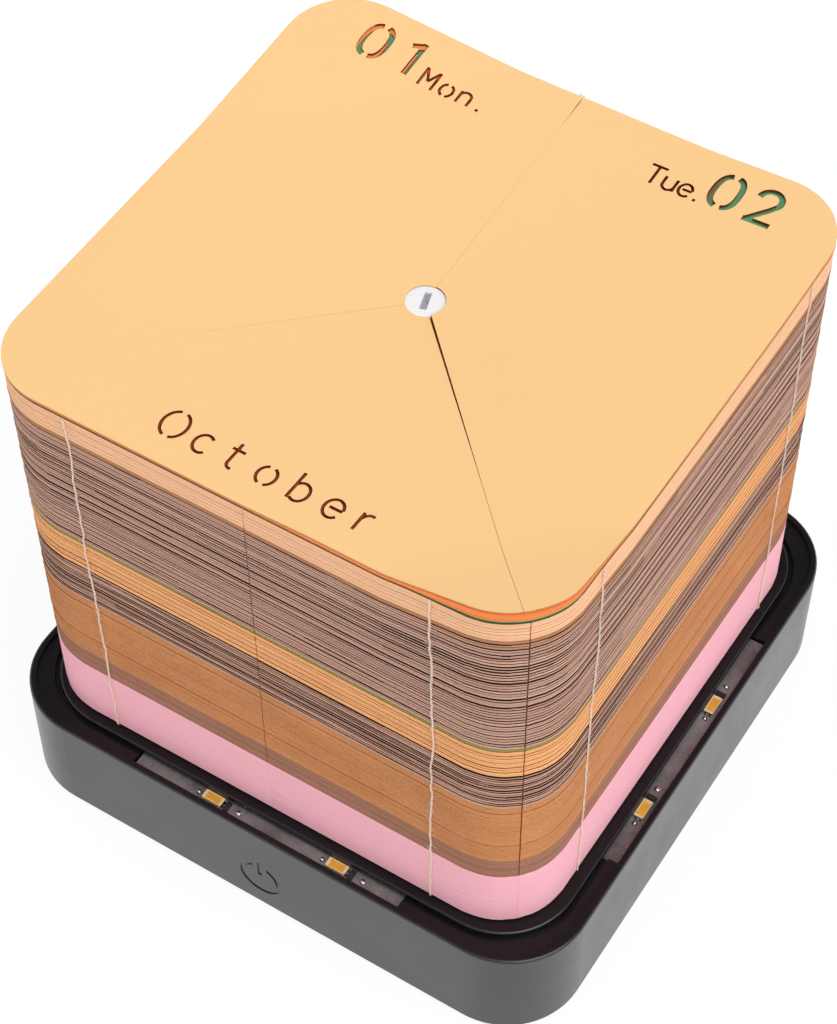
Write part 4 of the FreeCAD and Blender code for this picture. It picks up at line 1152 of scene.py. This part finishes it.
class CALENDAR_OT_centre_disc(bpy.types.Operator):
    """Make the white disc with its slot, and the steel blade that stands in it"""

    bl_idname = "calendar.centre_disc"
    bl_label = "Centre disc and blade"

    def execute(self, context):
        x, y, z = settled([[0, 0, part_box("month_panel")[1].z]])[0]
        turn = (0, 0, math.radians(17))
        place = (x, y, z - 0.12 * MM)
        disc = solid("cylinder", "centre-disc", vertices=72, radius=3 * MM, depth=0.5 * MM, location=place)
        top = corners_of(disc)[:, 2].max()
        edit(disc)
        pick(disc, "edges", lambda edge: all(v.co.z > top - 0.01 * MM for v in edge.verts))
        bpy.ops.mesh.bevel(offset=0.12 * MM, segments=3, affect="EDGES")
        pick(disc, "faces", lambda face: face.normal.z > 0.9 and len(face.verts) > 40)
        for step in (0.35, 0.9):
            bpy.ops.mesh.inset(thickness=step * MM)
        bpy.ops.transform.translate(value=(0, 0, 0.05 * MM))
        slot = solid("cube", "slot", (1.08 * MM, 3.4 * MM, 3 * MM), size=1, location=(x, y, z), rotation=turn)
        round_uprights(slot, 0.12 * MM, 3)
        carve(disc, slot)
        outward(disc)
        dress(disc, grained("cap_white_card", ink(250, 248, 248), 1800.0, 0.04, 0.008, Roughness=0.55))
        smooth(disc, 35)
        finish_piece(disc, "base", ["centre_cap"])

        low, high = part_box("centre_blade")[0].z, z - 0.05 * MM
        scale = (1.0 * MM, 3.3 * MM, high - low)
        blade = solid("cube", "centre-blade", scale, size=1, location=(x, y, (high + low) / 2), rotation=turn)
        tip = corners_of(blade)[:, 2].max()
        edit(blade)
        pick(blade, "faces", lambda face: face.normal.z > 0.9)
        bpy.ops.mesh.inset(thickness=0.16 * MM)
        bpy.ops.transform.translate(value=(0, 0, 0.08 * MM))
        pick(blade, "edges", lambda edge: all(v.co.z > tip - 0.01 * MM for v in edge.verts))
        bpy.ops.mesh.bevel(offset=0.04 * MM, segments=2, affect="EDGES")
        place = (x + 0.22 * MM, y, tip)
        carve(blade, solid("cylinder", "hole", vertices=20, radius=0.16 * MM, depth=0.5 * MM, location=place))
        outward(blade)
        dress(blade, drawn_metal("blade_steel_drawn", ink(222, 222, 232), (6000.0, 400.0, 400.0), (0.45, 0.6)))
        smooth(blade, 30)
        finish_piece(blade, "base", ["centre_blade"])
        return {"FINISHED"}


UP = np.array([0.0, 0.0, 1.0])
THREAD_FACES = np.array([(0, -1, 0), (0, 1, 0), (1, 0, 0), (-1, 0, 0)], float)  # ways out of front, back, right, left
FIBRES = 130  # loose fibres on each thread
TUFT = 26  # fibres in the tuft at the back notch


def yarn(name, strands, radius):
    """Strands along paths of points, each with its own share of the radius and with closed ends, as one mesh."""
    curve = bpy.data.curves.new(name, "CURVE")
    curve.dimensions = "3D"
    curve.bevel_depth = radius
    curve.bevel_resolution = 0
    curve.use_fill_caps = True
    for path, share in strands:
        line = curve.splines.new("POLY")
        line.points.add(len(path) - 1)
        flat = np.ones((len(path), 4))
        flat[:, :3] = path
        line.points.foreach_set("co", flat.ravel())
        line.points.foreach_set("radius", np.full(len(path), share))
    bundle = bpy.data.objects.new(name, curve)
    bpy.context.scene.collection.objects.link(bundle)
    work_on(bundle)
    bpy.ops.object.convert(target="MESH")
    return bundle


def thread_lines(out, side, high_low, chance):
    """The middle line of a thread down one face, and the paths of its two plies, on the upright block."""
    shape, thread = settings().block, settings().threads
    low, high = high_low
    beside = np.abs(out[[1, 0, 2]])
    face = out * (shape.half_x, shape.half_y, 0)
    seed = chance.uniform(0, 500)
    length = high - low + 0.9 * MM
    count = int(length / thread.turn * 7)
    middle, plies = [], ([], [])
    for index in range(count + 1):
        share = index / count
        stray = noise.noise(Vector((share * 6, seed, 0))) * thread.wander * 1.6
        stray += noise.noise(Vector((share * 31, seed, 9))) * thread.wander * 0.7
        height = low + 0.1 * MM + share * (length - 0.2 * MM)
        point = face + beside * (side * thread.place + stray) + UP * height
        middle.append(point)
        turn = 2 * math.pi * share * length / thread.turn
        spread = thread.ply * 0.95 * (1 + 0.5 * noise.noise(Vector((share * 40, seed, 3))))
        for number, ply in enumerate(plies):
            bend = turn + math.pi * number
            lift = thread.ply * 1.5 + spread * 0.8 * math.sin(bend)
            ply.append(point + beside * spread * 1.25 * math.cos(bend) + out * lift)
    return middle, plies


def loose_fibres(middle, out, chance):
    """Fine fibres that stand off a thread, each with its share of a ply's thickness."""
    beside = np.abs(out[[1, 0, 2]])
    made = []
    for _ in range(FIBRES):
        root = middle[chance.randrange(2, len(middle) - 7)] + out * settings().threads.ply * 1.6
        drift = beside * chance.uniform(-1, 1) + UP * chance.uniform(-1.2, 1.2)
        reach = chance.uniform(0.35, 1.15) * MM
        bend = beside * chance.uniform(-0.5, 0.5) + UP * chance.uniform(-0.5, 0.5)
        path = [root + (drift * s + bend * s * s) * reach + out * 0.44 * MM * s * (1 - s) for s in (0, 0.33, 0.66, 1)]
        made.append((settled(path, 0.0), chance.uniform(0.16, 0.3)))
    return made


class CALENDAR_OT_binding_threads(bpy.types.Operator):
    """Twist the cotton threads that run down the faces of the block"""

    bl_idname = "calendar.binding_threads"
    bl_label = "Binding threads"

    def execute(self, context):
        chance = random.Random(7)
        low, high = (corner.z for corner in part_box("binding_threads"))
        made = []
        for out in THREAD_FACES:
            for side in (-1, 1):
                middle, plies = thread_lines(out, side, (low, high), chance)
                made += [(settled(ply, 0.0), 1.0) for ply in plies]
                made += loose_fibres(middle, out, chance)
        root = np.array([-0.5 * MM, settings().block.half_y, high + 1.75 * MM])
        for _ in range(TUFT):
            way = np.array([chance.uniform(-1, 1), chance.uniform(-0.4, 0.8), chance.uniform(-0.6, 0.5)]) * 0.7 * MM
            made.append((settled([root, root + way * 0.5, root + way], 1.0), chance.uniform(0.3, 0.8)))
        threads = yarn("binding-threads", made, settings().threads.ply * 0.72)
        cotton = settings().papers.cotton
        dress(threads, grained("thread_cotton_twist", cotton, 5000.0, 0.12, 0.03, Roughness=0.9, Sheen_Weight=0.3))
        smooth(threads, 60)
        finish_piece(threads, "base", ["binding_threads"])
        return {"FINISHED"}


# ---------------------------------------------------------------- base


STRIP_SHIFTS = (1.4, -2.2, 1.4, -2.2)  # mm by which the front, right, back and left lamps are slid along their strips
LAMP_PLACE = 11.4  # mm from a strip's middle to a lamp
LAMP_OUT = 0.6  # mm from a strip's middle line outwards to its lamps
SOLDER_SPOTS = (
    # place along the strip from a lamp, half length, half width and height, in mm
    (-1.9, 0.22, 0.7, 0.1),
    (1.9, 0.22, 0.7, 0.1),
    (-2.75, 0.42, 0.45, 0.4),
    (4.6, 0.5, 0.5, 0.3),
)


def lamp_line():
    """The middle line of the front strip's lamps across the strip, and the strip's top."""
    low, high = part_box("led_strip_front")
    return (low.y + high.y) / 2 - LAMP_OUT * MM, high.z


def round_the_base(piece, name):
    """Copies of a front strip's piece for all four strips, each slid along its strip as the lamps are."""
    sides = []
    for quarter, shift in enumerate(STRIP_SHIFTS):
        twin = copy_of(piece, f"{name}_{quarter}")
        rows = corners_of(twin) + np.array([shift * MM, 0, 0])
        for _ in range(quarter):
            rows = np.stack([-rows[:, 1], rows[:, 0], rows[:, 2]], axis=1)
        put_corners(twin, rows)
        sides.append(twin)
    bpy.data.objects.remove(piece, do_unlink=True)
    return sides


class CALENDAR_OT_lamp_solder(bpy.types.Operator):
    """Put the solder pads and joints beside the lamps and resistors of the strips"""

    bl_idname = "calendar.lamp_solder"
    bl_label = "Solder on the lamp strips"

    def execute(self, context):
        line, level = lamp_line()
        made = []
        for lamp in (-LAMP_PLACE, LAMP_PLACE):
            for place, *scale in SOLDER_SPOTS:
                where = ((lamp + place) * MM, line, level)
                scale = [side * MM for side in scale]
                blob = solid("uv_sphere", "blob", scale, segments=16, ring_count=10, radius=1, location=where)
                edit(blob)
                bpy.ops.mesh.select_all(action="SELECT")
                cut = (0, 0, level + 0.005 * MM)
                bpy.ops.mesh.bisect(plane_co=cut, plane_no=(0, 0, 1), use_fill=True, clear_inner=True)
                bpy.ops.object.mode_set(mode="OBJECT")
                made.append(blob)
        solder = joined(round_the_base(joined(made, "solder_front"), "solder"), "strip-solder")
        outward(solder)
        dress(solder, drawn_metal("solder_tin", ink(206, 204, 200), (900.0, 900.0, 900.0), (0.2, 0.4)))
        smooth(solder, 40)
        finish_piece(solder, "base", ())
        return {"FINISHED"}


class CALENDAR_OT_lamps(bpy.types.Operator):
    """Make the eight lamps: a pale frame, a yellow phosphor well and two tinned ends"""

    bl_idname = "calendar.lamps"
    bl_label = "Lamps"

    def execute(self, context):
        low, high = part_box("led_chips")
        line, _ = lamp_line()
        scale = (3.5 * MM, 1.6 * MM, high.z - low.z)
        lamp = solid("cube", "lamp", scale, size=1, location=(LAMP_PLACE * MM, line, (low.z + high.z) / 2))
        top = corners_of(lamp)[:, 2].max()
        round_uprights(lamp, 0.14 * MM, 2)
        pick(lamp, "faces", lambda face: face.normal.z > 0.9)
        bpy.ops.mesh.inset(thickness=0.14 * MM)
        bpy.ops.transform.resize(value=(0.84, 1, 1), center_override=(LAMP_PLACE * MM, line, top))
        bpy.ops.mesh.inset(thickness=0.06 * MM)
        bpy.ops.transform.translate(value=(0, 0, -0.07 * MM))
        bpy.ops.object.mode_set(mode="OBJECT")
        for face in lamp.data.polygons:
            if face.normal.z > 0.9 and face.center.z < top - 0.03 * MM:
                face.material_index = 1
            elif abs(face.normal.x) > 0.9:
                face.material_index = 2
        frame_white = moulded("lamp_frame_white", ink(226, 206, 160), (0.4, 0.55))
        phosphor, tree = shader("lamp_phosphor", Roughness=0.32, Coat_Weight=0.4)
        skin = grouped(tree, moulded_skin(), Scale=2600.0, Patch=500.0)
        body = mix(tree, skin["Marks"], settings().base.lamp, ink(222, 150, 28))
        feed(phosphor, Base_Color=body, Normal=bump(tree, skin["Height"], 0.01 * MM))
        dress(lamp, frame_white, phosphor, bpy.data.materials["solder_tin"])
        other = copy_of(lamp, "lamp_other")
        put_corners(other, corners_of(other) - np.array([2 * LAMP_PLACE * MM, 0, 0]))
        whole = joined(round_the_base(joined([lamp, other], "lamp_pair"), "lamps"), "lamp-chips")
        outward(whole)
        finish_piece(whole, "base", ["led_chips"])
        return {"FINISHED"}


class CALENDAR_OT_base_finish(bpy.types.Operator):
    """Dress the base, its lamps' strips and everything inside it"""

    bl_idname = "calendar.base_finish"
    bl_label = "Finishes of the base"

    def execute(self, context):
        finish = settings().base
        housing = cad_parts["top_housing"]
        glossy = moulded("housing_charcoal", finish.plastic, (0.26, 0.34), gloss=0.84)
        dress(housing, glossy, moulded("housing_matt", finish.plastic, (0.3, 0.42), gloss=0.3))
        paint_flats(housing)
        strip = strip_lacquer("strip_lacquer", finish.strip)
        screw = (900.0, 900.0, 4000.0)
        plans = {
            "bottom_cover": moulded("cover_charcoal", finish.cover, (0.45, 0.6), 3600.0, 0.02),
            "rubber_feet": moulded("foot_rubber_matt", finish.rubber, (0.75, 0.9), 2400.0, 0.03),
            "cover_screws": drawn_metal("screw_zinc", ink(120, 122, 126), screw),
            "board_screws": drawn_metal("board_screw_zinc", ink(176, 178, 182), screw),
            "strip_resistors": moulded("resistor_glaze", ink(34, 34, 38), (0.25, 0.4), 4200.0, 0.01),
            "control_board": track_board("board_mask_green", ink(22, 92, 56), ink(70, 150, 92)),
            "usb_socket": drawn_metal("socket_nickel", ink(196, 196, 200), (300.0, 5000.0, 5000.0)),
            "usb_tongue": moulded("tongue_black", ink(28, 28, 30), (0.4, 0.55)),
            "touch_chip": moulded("chip_resin", ink(30, 31, 34), (0.45, 0.6), 4200.0, 0.02),
            "board_parts": moulded("board_part_resin", ink(64, 60, 58), (0.35, 0.5), 4200.0, 0.02),
            "battery_cell": drawn_metal("cell_foil_wrap", ink(206, 208, 212), (400.0, 400.0, 400.0), (0.35, 0.55)),
            "battery_pad": paper_face("pad_foam_grey", ink(84, 84, 88), 0.12, 0.95),
            "touch_plate": drawn_metal("touch_copper", ink(212, 132, 92), (600.0, 4000.0, 600.0)),
            "block_tape": paper_face("tape_film_matt", ink(214, 206, 190), 0.03, 0.5),
            "strip_leads": moulded("lead_sleeve_grey", ink(96, 96, 100)),
            "feed_leads": moulded("lead_sleeve_red", ink(170, 38, 34)),
            "battery_leads": moulded("lead_sleeve_black", ink(30, 30, 32)),
            "touch_lead": moulded("lead_sleeve_white", ink(210, 210, 206)),
        }
        for side in ("front", "right", "back", "left"):
            plans[f"led_strip_{side}"] = strip
        for node, material in plans.items():
            dress(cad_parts[node], material)
        return {"FINISHED"}


# ---------------------------------------------------------------- camera, floor and light


CAMERA_PLACE = (0.12962, -0.211091, 0.357949)
CAMERA_WAYS = (
    # the directions in which the picture runs across and down, and in which the camera looks
    (0.84725924, 0.53117819, 0.00122982),
    (0.41618937, -0.66240338, -0.62290302),
    (-0.33005786, 0.52827218, -0.7822981),
)
CAMERA_LENS, CAMERA_SENSOR = 90.453, 36  # mm
SUNS = {
    # direction towards the lamp, strength, and how wide it looks in degrees
    "right": ((0.62, -0.2, 0.78), 1.35, 50),
    "left": ((-0.7, -0.15, 0.7), 0.22, 60),
    "above": ((0.1, -0.1, 1.0), 1.0, 40),
}


def stand_camera(scene):
    """Stands the camera in its place and turns it by the ways that the picture runs."""
    bpy.ops.object.camera_add(location=CAMERA_PLACE)
    camera = bpy.context.object
    across, down, ahead = (Vector(way) for way in CAMERA_WAYS)
    camera.rotation_mode = "QUATERNION"
    camera.rotation_quaternion = Matrix((across, -down, -ahead)).transposed().to_quaternion()
    camera.data.sensor_fit = "AUTO"
    camera.data.sensor_width = CAMERA_SENSOR
    camera.data.lens = CAMERA_LENS
    camera.data.clip_start, camera.data.clip_end = 0.01, 20
    scene.camera = camera


def lay_floor():
    """Lays a pale floor that looks nearly white and throws the light of paper."""
    bpy.ops.mesh.primitive_plane_add(size=6, location=(0, 0, CAD_BOX[0].z - 0.02 * MM))
    floor = bpy.context.object
    floor.name = "floor"
    material, tree = shader("floor_paper", Roughness=0.9, Specular_IOR_Level=0.1, Base_Color=(0.82, 0.82, 0.82))
    ray = add(tree, "ShaderNodeLightPath").outputs
    direct = combined(tree, ray["Is Camera Ray"], ray["Is Glossy Ray"], "ADD")
    direct = combined(tree, direct, ray["Is Transmission Ray"], "ADD")
    white = add(tree, "ShaderNodeEmission", {"Color": (1, 1, 1), "Strength": 1.05})
    lit = tree.nodes["Principled BSDF"]
    shaders = {0: combined(tree, direct, 0.86), 1: lit.outputs[0], 2: white.outputs[0]}
    blend = add(tree, "ShaderNodeMixShader", shaders)
    tree.links.new(blend.outputs[0], tree.nodes["Material Output"].inputs["Surface"])
    dress(floor, material)


def light_room(scene):
    """Lights the scene from a room that is brightest low down, and is seen as plain white."""
    world = bpy.data.worlds.new("soft room")
    world.use_nodes = True
    scene.world = world
    tree = world.node_tree
    ray = add(tree, "ShaderNodeLightPath").outputs
    direct = combined(tree, ray["Is Camera Ray"], ray["Is Transmission Ray"], "ADD")
    height = add(tree, "ShaderNodeSeparateXYZ", {0: object_place(tree)}).outputs["Z"]
    fall = combined(tree, ranged(tree, height, 0.0, 1.0, 1.0, 0.0), 2.0, "POWER")
    room = ranged(tree, fall, 0.0, 1.0, 0.06, 1.42)
    strength = add(tree, "ShaderNodeMix", {0: direct, 2: room, 3: 1.0}, data_type="FLOAT").outputs[0]
    back = tree.nodes["Background"]
    fill(tree, back.inputs["Color"], (1, 1, 1))
    fill(tree, back.inputs["Strength"], strength)


class CALENDAR_OT_stage(bpy.types.Operator):
    """Set the camera, the pale floor, the world and the soft lamps"""

    bl_idname = "calendar.stage"
    bl_label = "Camera, floor and lamps"

    def execute(self, context):
        scene = bpy.context.scene
        scene.view_settings.view_transform = "Standard"
        clear_selection()
        stand_camera(scene)
        lay_floor()
        light_room(scene)
        for side, (way, strength, spread) in SUNS.items():
            lamp = bpy.data.lights.new(f"soft lamp {side}", "SUN")
            lamp.energy = strength
            lamp.angle = math.radians(spread)
            holder = bpy.data.objects.new(lamp.name, lamp)
            scene.collection.objects.link(holder)
            holder.rotation_mode = "QUATERNION"
            holder.rotation_quaternion = Vector(way).to_track_quat("Z", "Y")
            holder.location = Vector(way)
        return {"FINISHED"}


# ---------------------------------------------------------------- add-on


class CALENDAR_PT_panel(bpy.types.Panel):
    """The calendar's settings and the buttons that make its pieces"""

    bl_idname = "CALENDAR_PT_panel"
    bl_label = "Calendar"
    bl_space_type = "VIEW_3D"
    bl_region_type = "UI"
    bl_category = "Calendar"

    def draw(self, context):
        column = self.layout.column()
        for group in ("papers", "block", "letters", "threads", "base"):
            held = getattr(context.scene.calendar, group)
            column.label(text=group.title())
            for name in held.__annotations__:
                column.prop(held, name)
        for operator in OPERATORS:
            column.operator(operator.bl_idname)


GROUPS = (PaperColours, BlockSizes, LetterSizes, ThreadSizes, BaseFinish, CalendarSettings)
OPERATORS = (
    CALENDAR_OT_stage,
    CALENDAR_OT_leaf_bands,
    CALENDAR_OT_upper_leaves,
    CALENDAR_OT_top_panels,
    CALENDAR_OT_centre_disc,
    CALENDAR_OT_binding_threads,
    CALENDAR_OT_lamp_solder,
    CALENDAR_OT_lamps,
    CALENDAR_OT_base_finish,
)


def register():
    """Adds the settings, the operators and the panel to Blender."""
    for group in GROUPS:
        bpy.utils.register_class(group)
    bpy.types.Scene.calendar = bpy.props.PointerProperty(type=CalendarSettings)
    for operator in OPERATORS:
        bpy.utils.register_class(operator)
    bpy.utils.register_class(CALENDAR_PT_panel)


def unregister():
    """Takes them away again."""
    bpy.utils.unregister_class(CALENDAR_PT_panel)
    for operator in reversed(OPERATORS):
        bpy.utils.unregister_class(operator)
    del bpy.types.Scene.calendar
    for group in reversed(GROUPS):
        bpy.utils.unregister_class(group)


def main():
    """Makes every piece in order."""
    register()
    for operator in OPERATORS:
        family, name = operator.bl_idname.split(".")
        clear_selection()
        getattr(getattr(bpy.ops, family), name)()
    clear_selection()


if __name__ == "__main__":
    main()
